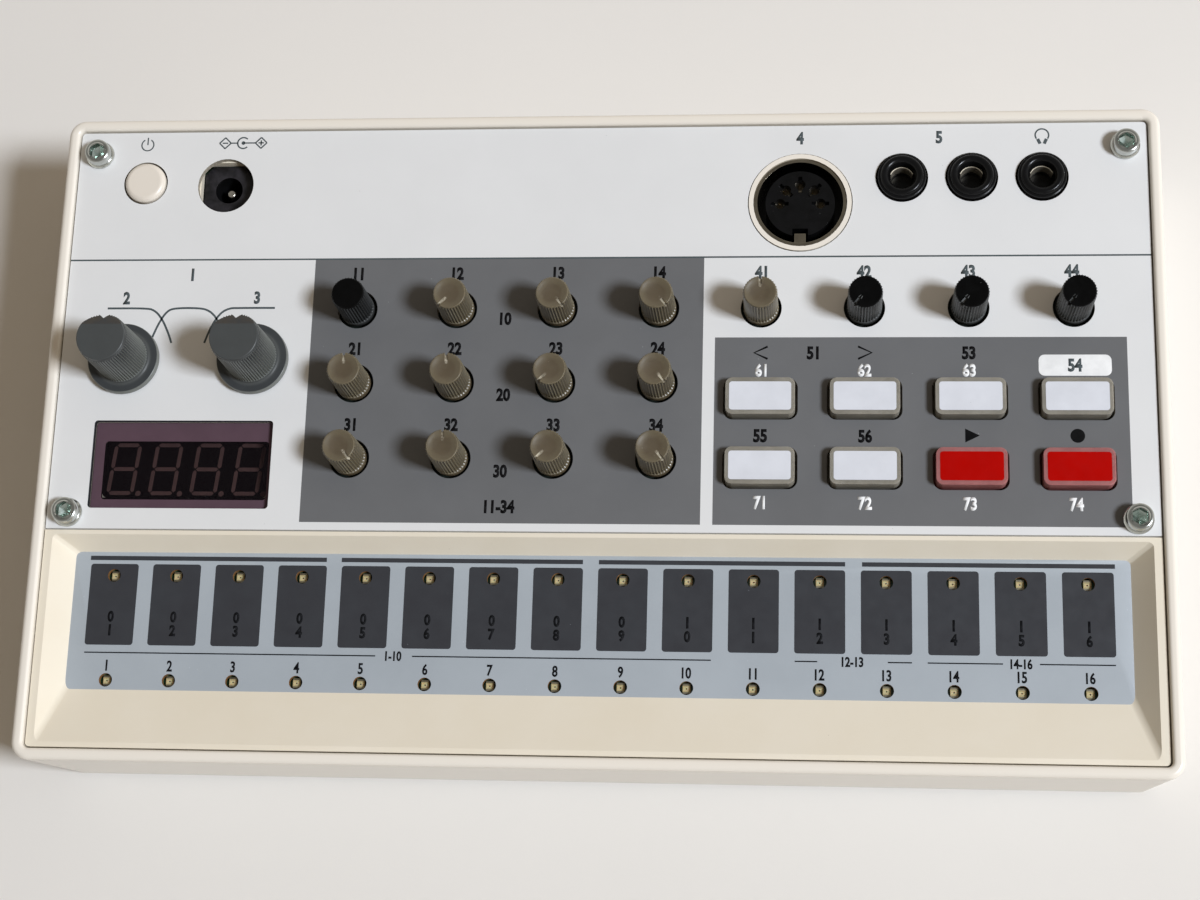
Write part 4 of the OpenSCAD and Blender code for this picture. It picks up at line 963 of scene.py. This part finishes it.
class SEQUENCER_OT_touch_strip(bpy.types.Operator):
    """Touch film with its pads, bars and numbers"""
    bl_idname = "sequencer.touch_strip"
    bl_label = "Touch strip"
    STEPS = 16
    # From a lamp's outer edge to its middle, as a share of the lamp's width
    LAMP_MIDDLE = 0.625
    # Places in mm from front to back: pads, bars, step numbers, group lines, the two figures on a pad
    PAD_Y, BAR_Y, STEP_Y, GROUP_Y, FIGURE_YS = -30.28, -22.2, -40.85, -38.65, (-32.4, -34.75)
    BARS = ((-86.9, -45.4), (-42.8, -1.35), (1.37, 42.7), (45.5, 86.95))
    LINES = ((-86.6, -36.1), (-29.8, 20.5), (34.4, 38.1), (49.7, 53.6), (56.2, 68.4), (74.4, 86.6))
    GROUPS = (("1-10", -33.0), ("12-13", 43.9), ("14-16", 71.4))
    # Height in mm, width and weight of the numbers
    STEP_TYPE, FIGURE_TYPE, GROUP_TYPE = (1.9 * MM, 0.75, 0.025), (1.95 * MM, 0.84, 0.045), (1.7 * MM, 0.75, 0.03)

    def film(self, look, slot):
        plate = copy_of("touch_plate")
        low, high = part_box("touch_plate")

        def depth(place):
            return min(place.x - low.x, high.x - place.x, place.y - low.y, high.y - place.y)

        round_edges(plate, lambda *ends: all(end.z > high.z - 0.05 * MM and depth(end) < 0.05 * MM for end in ends),
                    0.3 * MM, 3)
        soften(plate, 0.06 * MM, 1)
        # Painted shade: the film's rounded outer edge takes a darker blue-grey
        shade_painted = surface("Polyester film, trimmed edge", look.trim, [0.9 * c for c in look.trim], (0.4, 0.5),
                          0.3, 0.002, cloud=2, IOR=1.57)
        paint(plate, strip_film(look), cut_laminate("Film, punched edge", look.edge), shade_painted)
        # Faces of the outer edge that are not flat take the painted shade, index 2
        for face in plate.data.polygons:
            window = depth(face.center) > 0.5 * MM
            face.material_index = int(abs(face.normal.z) < 0.5) if window else 2 * int(face.normal.z < 0.97)
        mount(plate, "root", slot, "touch_plate")

    def execute(self, context):
        look = context.scene.sequencer.strip
        slot = SLOT["touch_plate"]
        self.film(look, slot)
        columns = [(i - (self.STEPS - 1) / 2) * look.pitch for i in range(self.STEPS)]
        low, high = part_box("step_lamps")
        chip = (high.x - low.x) - columns[-1] + columns[0]
        pad = rounded_plate("pad", look.pad_width, look.pad_depth, look.pad_corner, -INK_SINK, INK)
        set_down(pad, y=self.PAD_Y * MM)
        radius = look.window / 2 - 2 * NEAR
        hole = turned("pad_hole", [(radius, -MM), (radius, MM)], 32)
        carve(pad, set_down(hole, y=high.y - self.LAMP_MIDDLE * chip))
        pads = join("strip_pads", [set_down(twin(pad, "pad"), x, 0, STRIP_TOP) for x in columns])
        bpy.data.objects.remove(pad)
        paint(pads, pad_ink(look))
        mount(pads, "root", slot)

        marks = []
        for i, x in enumerate(columns):
            marks.append(numeral(str(i + 1), x / MM, self.STEP_Y, *self.STEP_TYPE))
            marks += [numeral(figure, x / MM, y, *self.FIGURE_TYPE)
                      for figure, y in zip(f"{i + 1:02d}", self.FIGURE_YS)]
        marks += [numeral(text, x, self.GROUP_Y, *self.GROUP_TYPE) for text, x in self.GROUPS]
        marks += [stroke(0.2, (a, self.GROUP_Y), (b, self.GROUP_Y)) for a, b in self.LINES]
        print_on("strip_print", marks, STRIP_TOP + INK, ink("strip black", look.ink), slot)
        bars = [stroke(0.75, (a, self.BAR_Y), (b, self.BAR_Y)) for a, b in self.BARS]
        print_on("strip_bars", bars, STRIP_TOP, pads.data.materials[0], slot)
        return {"FINISHED"}


class SEQUENCER_OT_lamps(bpy.types.Operator):
    """Chip lamps behind the round windows"""
    bl_idname = "sequencer.lamps"
    bl_label = "Lamps"
    # Half the length of the cast middle between the tinned ends, as a share of the lamp's length
    CAST = 0.3

    def execute(self, context):
        look = context.scene.sequencer.strip
        low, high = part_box("step_lamps")
        strip = SEQUENCER_OT_touch_strip
        width, depth, tall = look.chip_width, look.chip_depth, look.chip_height
        lamp = block("lamp", (-width / 2, -depth / 2, 0), (width / 2, depth / 2, tall))
        for y in (-self.CAST * depth, self.CAST * depth):
            edit_all(lamp)
            bpy.ops.mesh.bisect(plane_co=(0, y, 0), plane_no=(0, 1, 0))
        pick(lamp, "FACE", lambda f: f.normal.z > 0.9 and abs(f.center.y) < 0.1 * depth)
        bpy.ops.mesh.inset(thickness=0.12 * width)
        bpy.ops.mesh.extrude_region_move(TRANSFORM_OT_translate={"value": (0, 0, -0.15 * tall)})
        bpy.ops.object.mode_set(mode="OBJECT")
        soften(lamp, 0.03 * MM, 1)
        die = turned("die", [(0.13 * MM, 0.8 * tall), (0.13 * MM, 0.9 * tall), (0.08 * MM, 0.93 * tall)], 10)
        # Chip lamp: cast cream body with tinned ends and a paler lens
        paint(lamp, surface("Epoxy, cast, cream lamp body", look.chip, [0.9 * c for c in look.chip], (0.4, 0.55),
                            0.2, 0.003, cloud=0.6, IOR=1.5),
              surface("Epoxy, cast, lamp lens", look.phosphor, [0.92 * c for c in look.phosphor], (0.15, 0.3),
                      0.2, 0.003, cloud=0.5, IOR=1.5, Subsurface_Weight=0.3,
                      Subsurface_Scale=0.3 * MM),
              plated("Solder, tinned, dull", look.solder, (0.35, 0.5)))
        paint(die, surface("Semiconductor die under resin", linear("#4a3a22"), linear("#3a2d1a"), (0.3, 0.4),
                           0.05, 0.001, cloud=0.1))
        for face in lamp.data.polygons:
            end = abs(face.center.y) > self.CAST * depth
            lens = face.normal.z > 0.9 and face.center.z < 0.95 * tall and not end
            face.material_index = 2 if end else int(lens)
        lamp = join("lamp", [lamp, die])
        chip = (high.x - low.x) - (strip.STEPS - 1) * look.pitch
        inset = strip.LAMP_MIDDLE * chip
        lamps = [set_down(twin(lamp, "lamp"), low.x + chip / 2 + i * look.pitch, y, low.z)
                 for y in (low.y + inset, high.y - inset) for i in range(strip.STEPS)]
        bpy.data.objects.remove(lamp)
        lamps = join("step_lamps_dressed", lamps)
        mount(lamps, "root", SLOT["step_lamps"], "step_lamps")
        return {"FINISHED"}


class SEQUENCER_OT_small_knobs(bpy.types.Operator):
    """Small ribbed knobs with pointer slots"""
    bl_idname = "sequencer.small_knobs"
    bl_label = "Small knobs"
    # Radii in mm: ribs' crests, cap, outer end of the slot
    CREST, CAP, SLOT_END = 2.93, 2.66, 2.84
    # Profile in mm: above the body's foot, round the ribs' lower end, round their upper end, below the top
    FOOT = ((1.5, 0), (2.88, 0), (3.0, 0.12))
    LOWER = ((3.0, -0.2), (2.98, -0.1), (CREST + 0.02, 0))
    UPPER = ((CREST - 0.02, 0), (2.76, 0.08))
    EDGE = ((2.72, -0.08), (2.62, 0))
    # Top: radius in mm and share of the dish
    DISH = ((2.5, 0.05), (2.22, 0.3), (1.9, 0.52), (1.5, 0.76), (0.95, 0.93), (0.4, 1.0))

    def model(self, look, slotted, dish):
        """A knob on the origin; dish is how far its top sinks in the middle."""
        low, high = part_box(ENDLESS_KNOB)
        top, foot, rib_low, rib_high = high.z, PANEL_TOP - 0.6 * MM, PANEL_TOP + 0.95 * MM, high.z - 0.28 * MM
        knob = turned("small_knob", [
            *rings(low.z, self.FOOT[0]), *rings(foot, *self.FOOT), *rings(rib_low, *self.LOWER),
            *rings(rib_high, *self.UPPER), *rings(top, *self.EDGE),
            *[(radius * MM, top - share * dish) for radius, share in self.DISH]], 4 * look.ribs)
        groove(knob, look.ribs, look.rib, rib_low, rib_high)
        if slotted:
            half, end = look.slot_width / 2, self.SLOT_END * MM
            for reach, drop in ((look.slot_reach, look.slot_depth), (look.slot_depth, look.slot_drop)):
                carve(knob, block("slot", (-half, end - reach, top - drop), (half, 4 * MM, top + MM)))

        # Painted light: share of the lighter colour at each point, growing towards the rim of a dished top, on rib
        # crests and in a band just below the ribs
        def wall(reach, height):
            if height > rib_high + 0.03 * MM:
                if dish < look.dish:
                    return 0.0
                return 0.4 if reach > self.CAP * MM else 0.05 + 0.3 * (reach / (self.CAP * MM)) ** 2
            if height > rib_low - 0.05 * MM:
                return (1.0 if slotted else 0.3) * (0.1 + 0.9 * (reach - self.CREST * MM + look.rib) / look.rib)
            return 0.3 if height > rib_low - 0.25 * MM else 0.0

        mark_painted_light(knob, wall)
        smooth(knob, 28)
        return knob

    def execute(self, context):
        look = context.scene.sequencer.knobs
        smoke, bright = smoke_plastic(look), pointer_highlight_plastic(look)
        # Black knobs: painted highlights in light grey on the rib crests, and the pointer slot's walls painted in the
        # same grey as a highlight
        black = hard_plastic("ABS, moulded, black", look.black, look.black_tone, (0.24, 0.36), "#a9a9a6",
                             look.black_crest, 0.08)
        black_slot_highlight = hard_plastic("ABS, moulded, black slot highlight", look.black_crest, look.black, (0.4, 0.5), "#777773",
                                    None, 0.15)
        shallow = 0.12 * look.dish
        dished, slotted, plain = (self.model(look, True, look.dish), self.model(look, True, shallow),
                                  self.model(look, False, shallow))
        for node in SMALL_KNOBS:
            dark = node in BLACK_KNOBS
            knob = twin(plain if node == ENDLESS_KNOB else slotted if dark else dished, f"{node}_dressed")
            paint(knob, black if dark else smoke, black_slot_highlight if dark else bright)
            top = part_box(node)[1].z
            # Slot walls take the second material, a painted highlight
            for face in knob.data.polygons:
                x, y, z = face.center
                walls = abs(x) <= 0.51 * look.slot_width and y > 1.2 * MM and 0.02 * MM < top - z < 1.3 * MM
                inner = math.hypot(x, y) < self.SLOT_END * MM - 2 * NEAR
                face.material_index = int(walls and inner and node != ENDLESS_KNOB)
            stand(knob, node)
        for model in (dished, slotted, plain):
            bpy.data.objects.remove(model)
        return {"FINISHED"}


class SEQUENCER_OT_large_knobs(bpy.types.Operator):
    """Large knobs with a flange, fine ribs and a sloped pointer facet"""
    bl_idname = "sequencer.large_knobs"
    bl_label = "Large knobs"
    # In mm: radii of grip, cap and bore, depth of the bore, half width and depth of the notch
    GRIP, CAP, BORE, BORE_DEPTH, NOTCH, NOTCH_DEPTH = 4.4, 4.2, 2.6, 9.4, 0.66, 4.0
    # Profile in mm: flange against its radius, fillet against the grip, upper end of the ribs, edge against the cap
    FLANGE = ((-0.1, 0), (0, 0.1), (0, 1.2), (-0.04, 1.32), (-0.14, 1.38))
    FILLET = ((0.85, 1.38), (0.5, 1.45), (0.27, 1.62), (0.15, 1.85), (0.12, 1.95))
    EDGE = ((0, -0.2), (-0.05, -0.06), (-0.16, 0), (-0.6, 0))

    def execute(self, context):
        look = context.scene.sequencer.knobs
        low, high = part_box(LARGE_KNOBS[0])
        base, top, flange, grip = low.z, high.z, (high.x - low.x) / 2, self.GRIP * MM
        rib_low, rib_high = base + self.FILLET[-1][1] * MM, top - MM
        knob = turned("large_knob", [
            *rings(base, (self.BORE, self.BORE_DEPTH), (self.BORE, 0)),
            *[(flange + out * MM, base + height * MM) for out, height in self.FLANGE],
            *rings(base, *[(self.GRIP + out, height) for out, height in self.FILLET]),
            *rings(rib_high, (self.GRIP - 0.03, 0), (self.CAP, 0.1)),
            *rings(top, *[(self.CAP + out, height) for out, height in self.EDGE])], 4 * look.large_ribs)
        groove(knob, look.large_ribs, look.rib, rib_low, rib_high)
        facet = block("facet", (-6 * MM, 0, 0), (6 * MM, 8 * MM, 6 * MM))
        facet.rotation_euler = (-look.facet_tilt, 0, 0)
        facet.location = (0, look.facet_start, top)
        carve(knob, facet)
        half = self.NOTCH * MM
        notch = block("notch", (-half, -half, -self.NOTCH_DEPTH * MM), (half, half, MM))
        notch.rotation_euler = (0, 0, math.radians(45))
        notch.location = (0, grip, top)
        carve(knob, notch)

        # Painted light: share of the lighter grey, a little on the top and fillet, more on the rib crests, most on the
        # flange's outer band as a painted reflection
        def wall(reach, height):
            if height > rib_high + 0.05 * MM:
                return 0.17
            if height > rib_low - 0.05 * MM:
                return (reach - grip + look.rib) / look.rib - 0.1
            if height > base + 1.4 * MM:
                return 0.2
            return 0.75 if reach > flange - 0.08 * MM else 0.08

        mark_painted_light(knob, wall)
        smooth(knob, 20)
        paint(knob, hard_plastic("ABS, moulded, mid grey", look.grey, look.grey_tone, (0.3, 0.42), "#a5a6a0",
                                 look.grey_crest),
              hard_plastic("ABS, moulded, mid grey facet", look.facet, look.grey, (0.3, 0.42), "#8f8c84"))
        # Painted shade: faces of the facet take the darker facet colour
        for face in knob.data.polygons:
            face.material_index = int(face.normal.y > 0.4 and face.normal.z > 0.7 and face.center.z > rib_high)
        for node in LARGE_KNOBS:
            stand(twin(knob, f"{node}_dressed"), node)
        bpy.data.objects.remove(knob)
        return {"FINISHED"}


class SEQUENCER_OT_keys(bpy.types.Operator):
    """Silicone keys with printed tops, and the mat that they stand in"""
    bl_idname = "sequencer.keys"
    bl_label = "Keys"

    def execute(self, context):
        look = context.scene.sequencer.keys
        clear = silicone("Silicone, moulded, milky", look.clear, look.clear_tone)
        red = silicone("Silicone, moulded, red tint", look.red, look.red_tone)
        tops = {False: key_print("Ink, printed on silicone, white", look.white_print),
                True: key_print("Ink, printed on silicone, red", look.red_print)}
        plate = rounded_plate("key_print", look.print_width, look.print_depth, look.print_corner, -INK_SINK, INK)
        for node in KEYS:
            is_red = node in RED_KEYS
            dress(node, red if is_red else clear, look.edge, 4, split=True)
            low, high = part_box(node)
            top = set_down(twin(plate, f"{node}_print"), (low.x + high.x) / 2, (low.y + high.y) / 2, high.z)
            paint(top, tops[is_red])
            mount(top, BODY[node], SLOT[node])
        bpy.data.objects.remove(plate)
        dress("keypad_mat", clear, 0.2 * MM)
        return {"FINISHED"}


class SEQUENCER_OT_sockets(bpy.types.Operator):
    """Round five-pole socket, three small sockets, supply socket and power button"""
    bl_idname = "sequencer.sockets"
    bl_label = "Sockets"
    # Small sockets in mm: bore, wide part of the bore over its floor, lip and contact below the top
    BORE = 1.8
    WELL = ((2.1, 0.4), (BORE, 0.4))
    LIP = ((4.15, -0.85), (4.09, -0.72), (3.95, -0.66), (3.76, -0.64), (3.72, -0.5), (3.66, -0.3), (3.5, -0.1),
           (3.25, 0), (2.9, -0.02), (2.6, -0.14), (2.38, -0.4), (2.25, -0.75), (2.15, -0.95), (2.1, -1.4))
    CONTACT, CONTACT_CUT = ((2.12, -4.2), (2.12, -1.9), (2.0, -2.0), (1.95, -4.2)), 0.8
    # Five-pole socket in mm: contacts below its face, radius of their circle, angle between them
    POLE, POLE_CIRCLE, POLES, POLE_STEP = ((0.92, -4.5), (0.92, -1.3), (0.66, -1.2), (0.66, -4.3)), 3.5, 5, 45
    # Supply socket in mm: chamfer of its rear left corner, depth of its satin face
    CHAMFER, SATIN = 1.4, 0.4

    def small_sockets(self, black):
        low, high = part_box(JACKS[0])
        top, seat = high.z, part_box("pot_bodies")[1].z
        jack = turned("jack", [*rings(seat, (self.LIP[0][0], 0)), *rings(top, *self.LIP), *rings(seat, *self.WELL),
                               (self.BORE * MM, low.z + MM)], 64)
        sleeve = turned("sleeve", rings(top, *self.CONTACT), 48, tube=True)
        # Only the rear of the sleeve is left, as a bent contact
        edit_all(sleeve)
        bpy.ops.mesh.bisect(plane_co=(0, self.CONTACT_CUT * MM, 0), plane_no=(0, 1, 0), clear_inner=True,
                            use_fill=True)
        bpy.ops.object.mode_set(mode="OBJECT")
        for piece in (jack, sleeve):
            smooth(piece, 40)
        paint(jack, black)
        paint(sleeve, plated("Nickel plate, dull", linear("#ddd3bf"), (0.45, 0.6)))
        for node in JACKS:
            low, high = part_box(node)
            x, y = (low.x + high.x) / 2, (low.y + high.y) / 2
            shell = block("jack_body", (low.x, low.y, low.z), (high.x, high.y, seat))
            soften(shell, 0.3 * MM)
            paint(shell, black)
            radius = self.BORE * MM + 0.1 * MM
            carve(shell, set_down(turned("jack_hole", [(radius, low.z + MM), (radius, top)], 48), x, y))
            whole = join(f"{node}_dressed", [set_down(twin(jack, "jack"), x, y), shell])
            mount(whole, "root", SLOT[node], node)
            ring = set_down(twin(sleeve, f"{node}_contact"), x, y)
            mount(ring, "root", SLOT["dc_pin"])
        for model in (jack, sleeve):
            bpy.data.objects.remove(model)

    def supply_socket(self, look, black):
        supply = copy_of("dc_jack")
        low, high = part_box("dc_jack")

        def is_corner(start, end):
            return abs(start.z - end.z) > MM and all(place.x < low.x + 0.1 * MM and place.y > high.y - 0.1 * MM
                                                     for place in (start, end))

        round_edges(supply, is_corner, self.CHAMFER * MM, 1)
        soften(supply, 0.25 * MM, split=True)
        satin = hard_plastic("PBT, moulded, satin black", look.satin, look.black, (0.3, 0.42), "#8a8a86")
        paint(supply, satin, black)
        for face in supply.data.polygons:
            face.material_index = int(face.center.z < high.z - self.SATIN * MM)
        mount(supply, "root", SLOT["dc_jack"], "dc_jack")
        dress("dc_pin", plated("Nickel plate, bright", linear("#d8d2c6"), (0.2, 0.3)), 0.35 * MM, 4)

    def pole_socket(self, look, black):
        dress("din_shell", plated("Nickel plate, rolled", look.nickel, (0.1, 0.18)), 0.12 * MM)
        dress("din_insert", black, 0.12 * MM)
        low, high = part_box("din_insert")
        centre, circle = (low + high) / 2, self.POLE_CIRCLE * MM
        contacts = []
        for i in range(self.POLES):
            turn = math.radians(self.POLE_STEP * i)
            contacts.append(set_down(turned("contact", rings(high.z, *self.POLE), 24),
                                     centre.x + circle * math.cos(turn), centre.y + circle * math.sin(turn)))
        contacts = join("din_contacts", contacts)
        smooth(contacts, 40)
        paint(contacts, plated("Nickel plate, drawn", look.nickel))
        mount(contacts, "root", SLOT["dc_pin"])

    def power_button(self, look):
        button = copy_of("power_button")
        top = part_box("power_button")[1].z - 2 * NEAR
        round_edges(button, lambda start, end: min(start.z, end.z) > top, look.button_edge, 6)
        soften(button, 0.1 * MM, 1)
        level(button)
        paint(button, surface("ABS, moulded, ivory", look.ivory, look.ivory_tone, (0.28, 0.4), 0.6, 0.003,
                              dust=(linear("#9f9789"), 3, 0.08), IOR=1.53))
        mount(button, BODY["power_button"], SLOT["power_button"], "power_button")

    def execute(self, context):
        look = context.scene.sequencer.sockets
        black = hard_plastic("PBT, moulded, black", look.black, look.black_tone, (0.16, 0.28), "#8a8a86", None, 0.15)
        self.small_sockets(black)
        self.supply_socket(look, black)
        self.pole_socket(look, black)
        self.power_button(look)
        return {"FINISHED"}


class SEQUENCER_OT_screws(bpy.types.Operator):
    """Plated socket-head screws of the panel and the screws of the case"""
    bl_idname = "sequencer.screws"
    bl_label = "Screws"
    # In mm: radius of the ring that reaches the node's box, screw above the panel, head and hexagon below the top
    REACH = 2.7
    RING = ((1.4, 0), (2.5, 0), (2.56, 0.12), (2.52, 0.5), (2.38, 0.68), (2.25, 0.76))
    HEAD = ((2.25, -0.42), (2.18, -0.18), (2.02, -0.04), (1.85, 0), (1.62, 0), (1.48, -0.14))
    HEXAGON = ((0.15, -2.3), (1.46, -1.5), (1.46, 1))

    def execute(self, context):
        look = context.scene.sequencer.sockets
        zinc = plated("Zinc plate on turned steel", look.zinc, (0.14, 0.22), 0.25, (1, 1, 4))
        low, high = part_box("panel_screws")
        top, reach = high.z, self.REACH * MM
        screw = turned("panel_screw", [*rings(low.z, self.RING[0]), *rings(PANEL_TOP, *self.RING),
                                       *rings(top, *self.HEAD)], 48)
        carve(screw, turned("hexagon", rings(top, *self.HEXAGON), 6))
        smooth(screw, 30)
        # Faces inside the hexagon socket take the painted glint
        paint(screw, zinc, plated("Zinc plate, glint_painted", look.recess, (0.2, 0.3)))
        for face in screw.data.polygons:
            inner = math.hypot(face.center.x, face.center.y) < 1.5 * MM
            face.material_index = int(inner and 0.2 * MM < top - face.center.z < 2.4 * MM)
        places = [(x, y) for x in (low.x + reach, high.x - reach) for y in (low.y + reach, high.y - reach)]
        screws = join("panel_screws_dressed", [set_down(twin(screw, "panel_screw"), x, y) for x, y in places])
        bpy.data.objects.remove(screw)
        mount(screws, "root", SLOT["panel_screws"], "panel_screws")
        dress("case_screws", zinc, 0.15 * MM)
        return {"FINISHED"}


class SEQUENCER_OT_inner(bpy.types.Operator):
    """Boards, controls, cells and speaker inside the case"""
    bl_idname = "sequencer.inner"
    bl_label = "Inner parts"
    EDGE = 0.12

    def execute(self, context):
        scene = context.scene.sequencer
        mask = board_mask(scene.strip)
        nickel = plated("Nickel plate, stamped", scene.sockets.nickel)
        phenolic = hard_plastic("Phenolic, moulded, dark green", linear("#2b3530"), linear("#232b27"), (0.4, 0.55),
                                "#8a8d86")
        jacket = hard_plastic("PVC film, shrunk on cells", linear("#4a4d52"), linear("#3c3f44"), (0.2, 0.35),
                              "#a0a3a8")
        cone = surface("Pressed paper pulp, dark", linear("#252526"), linear("#323231"), (0.7, 0.85), 0.15,
                       0.03, cloud=1)
        plunger = hard_plastic("Acetal, moulded, white", linear("#c9c9c4"), linear("#bdbdb7"), (0.35, 0.5), "#8f8f8a")
        finishes = {
            "touch_board": mask, "main_board": mask, "pot_bodies": phenolic, "encoder_body": phenolic,
            "large_pot_bodies": nickel, "power_switch": phenolic, "power_plunger": plunger,
            "speaker_frame": nickel, "speaker_cone": cone, "battery_cells": jacket, "battery_contacts": nickel,
            "bass_shaft": nickel, "treble_shaft": nickel}
        for node, material in finishes.items():
            dress(node, material, self.EDGE * MM)
        return {"FINISHED"}


class SEQUENCER_OT_stage(bpy.types.Operator):
    """Pale floor, lamp, soft light from all round and the camera"""
    bl_idname = "sequencer.stage"
    bl_label = "Stage"
    # Ways to the lamp and to the brighter side of the room
    LAMP_WAY, FILL_WAY = (7.0, -1.9, 8.8), (0.85, 0.52, 0.0)
    # Camera fitted to the photo: place in mm, turn in degrees, lens and sensor in mm, shift
    CAMERA_PLACE, CAMERA_TURN = (36.665, -94.867, 381.041), (14.7637, 5.3447, 1.6057)
    LENS, SENSOR, SHIFT = 64.3, 36, -0.00167

    def light(self, look):
        towards = Vector(self.LAMP_WAY).normalized()
        bpy.ops.object.light_add(type="AREA", location=towards * look.lamp_distance + Vector((0, 0, PANEL_TOP)))
        lamp = named("studio_lamp")
        lamp.rotation_euler = towards.to_track_quat("Z", "Y").to_euler()
        lamp.data.size = look.lamp_size
        lamp.data.energy = look.lamp_power
        lamp.data.color = look.lamp_tint[:3]

    def room(self, context, look):
        """World that lights more from one side, and looks pale to the camera and in reflections."""
        world = bpy.data.worlds.new("soft_light")
        world.use_nodes = True
        context.scene.world = world
        tree = world.node_tree
        tree.nodes.clear()
        path = add_node(tree, "ShaderNodeLightPath", {})
        seen = path.outputs["Is Camera Ray"]
        for ray in ("Is Transmission Ray", "Is Glossy Ray"):
            seen = add_node(tree, "ShaderNodeMath", {0: seen, 1: path.outputs[ray]}, operation="MAXIMUM").outputs[0]
        way = add_node(tree, "ShaderNodeTexCoord", {}).outputs["Generated"]
        near = add_node(tree, "ShaderNodeVectorMath", {0: way, 1: self.FILL_WAY}, operation="DOT_PRODUCT")
        side = add_node(tree, "ShaderNodeMapRange", {"Value": near.outputs["Value"], "From Min": -1.0, "From Max": 1.0,
                                                     "To Min": look.fill_far, "To Max": look.fill_near})
        tall = add_node(tree, "ShaderNodeSeparateXYZ", {"Vector": way})
        above = add_node(tree, "ShaderNodeMapRange", {"Value": tall.outputs["Z"], "From Min": 0.2, "From Max": 0.9,
                                                      "To Min": 1.0, "To Max": look.ceiling})
        soft = add_node(tree, "ShaderNodeBackground", {"Color": tuple(look.fill_tint), "Strength": side.outputs[0]})
        pale = add_node(tree, "ShaderNodeBackground", {"Color": tuple(look.floor), "Strength": above.outputs[0]})
        mix = add_node(tree, "ShaderNodeMixShader", {0: seen, 1: soft.outputs[0], 2: pale.outputs[0]})
        add_node(tree, "ShaderNodeOutputWorld", {"Surface": mix.outputs[0]})

    def execute(self, context):
        look = context.scene.sequencer.stage
        deselect()
        bpy.ops.mesh.primitive_plane_add(size=6)
        floor = named("floor")
        edit_all(floor)
        bpy.ops.mesh.subdivide(number_cuts=3)
        bpy.ops.object.mode_set(mode="OBJECT")
        # Seamless studio paper: pale and matt, nearly without grain
        paint(floor, surface("Studio paper, matt, pale", look.floor, [0.97 * c for c in look.floor], (0.8, 0.9),
                             0.8, 0.01, cloud=300))
        self.light(look)
        self.room(context, look)
        bpy.ops.object.camera_add(location=[place * MM for place in self.CAMERA_PLACE],
                                  rotation=[math.radians(turn) for turn in self.CAMERA_TURN])
        camera = named("camera")
        camera.data.lens = self.LENS
        camera.data.sensor_width = self.SENSOR
        camera.data.sensor_fit = "HORIZONTAL"
        camera.data.shift_y = self.SHIFT
        camera.data.clip_start = 0.01
        context.scene.camera = camera
        context.scene.view_settings.view_transform = "Standard"
        return {"FINISHED"}


class SEQUENCER_PT_looks(bpy.types.Panel):
    """Lists the pieces of the sequencer"""
    bl_idname = "SEQUENCER_PT_looks"
    bl_label = "Step Sequencer"
    bl_space_type = "VIEW_3D"
    bl_region_type = "UI"
    bl_category = "Sequencer"

    def draw(self, context):
        for operator in OPERATORS:
            self.layout.operator(operator.bl_idname)
        for group in SequencerLook.bl_rna.properties:
            if group.type == "POINTER" and group.identifier != "rna_type":
                look = getattr(context.scene.sequencer, group.identifier)
                box = self.layout.box()
                box.label(text=group.identifier.title())
                for prop in look.bl_rna.properties:
                    if prop.identifier not in ("rna_type", "name"):
                        box.prop(look, prop.identifier)


GROUPS = (CaseLook, PanelLook, StripLook, KnobLook, KeyLook, DisplayLook, SocketLook, StageLook, SequencerLook)
OPERATORS = (SEQUENCER_OT_stage, SEQUENCER_OT_case, SEQUENCER_OT_panel, SEQUENCER_OT_panel_print,
             SEQUENCER_OT_display, SEQUENCER_OT_touch_strip, SEQUENCER_OT_lamps, SEQUENCER_OT_small_knobs,
             SEQUENCER_OT_large_knobs, SEQUENCER_OT_keys, SEQUENCER_OT_sockets, SEQUENCER_OT_screws,
             SEQUENCER_OT_inner)


def register():
    for cls in (*GROUPS, *OPERATORS, SEQUENCER_PT_looks):
        bpy.utils.register_class(cls)
    bpy.types.Scene.sequencer = PointerProperty(type=SequencerLook)


def unregister():
    del bpy.types.Scene.sequencer
    for cls in reversed((*GROUPS, *OPERATORS, SEQUENCER_PT_looks)):
        bpy.utils.unregister_class(cls)


def main():
    register()
    deselect()
    for operator in OPERATORS:
        getattr(bpy.ops.sequencer, operator.bl_idname.split(".")[1])()


if __name__ == "__main__":
    main()
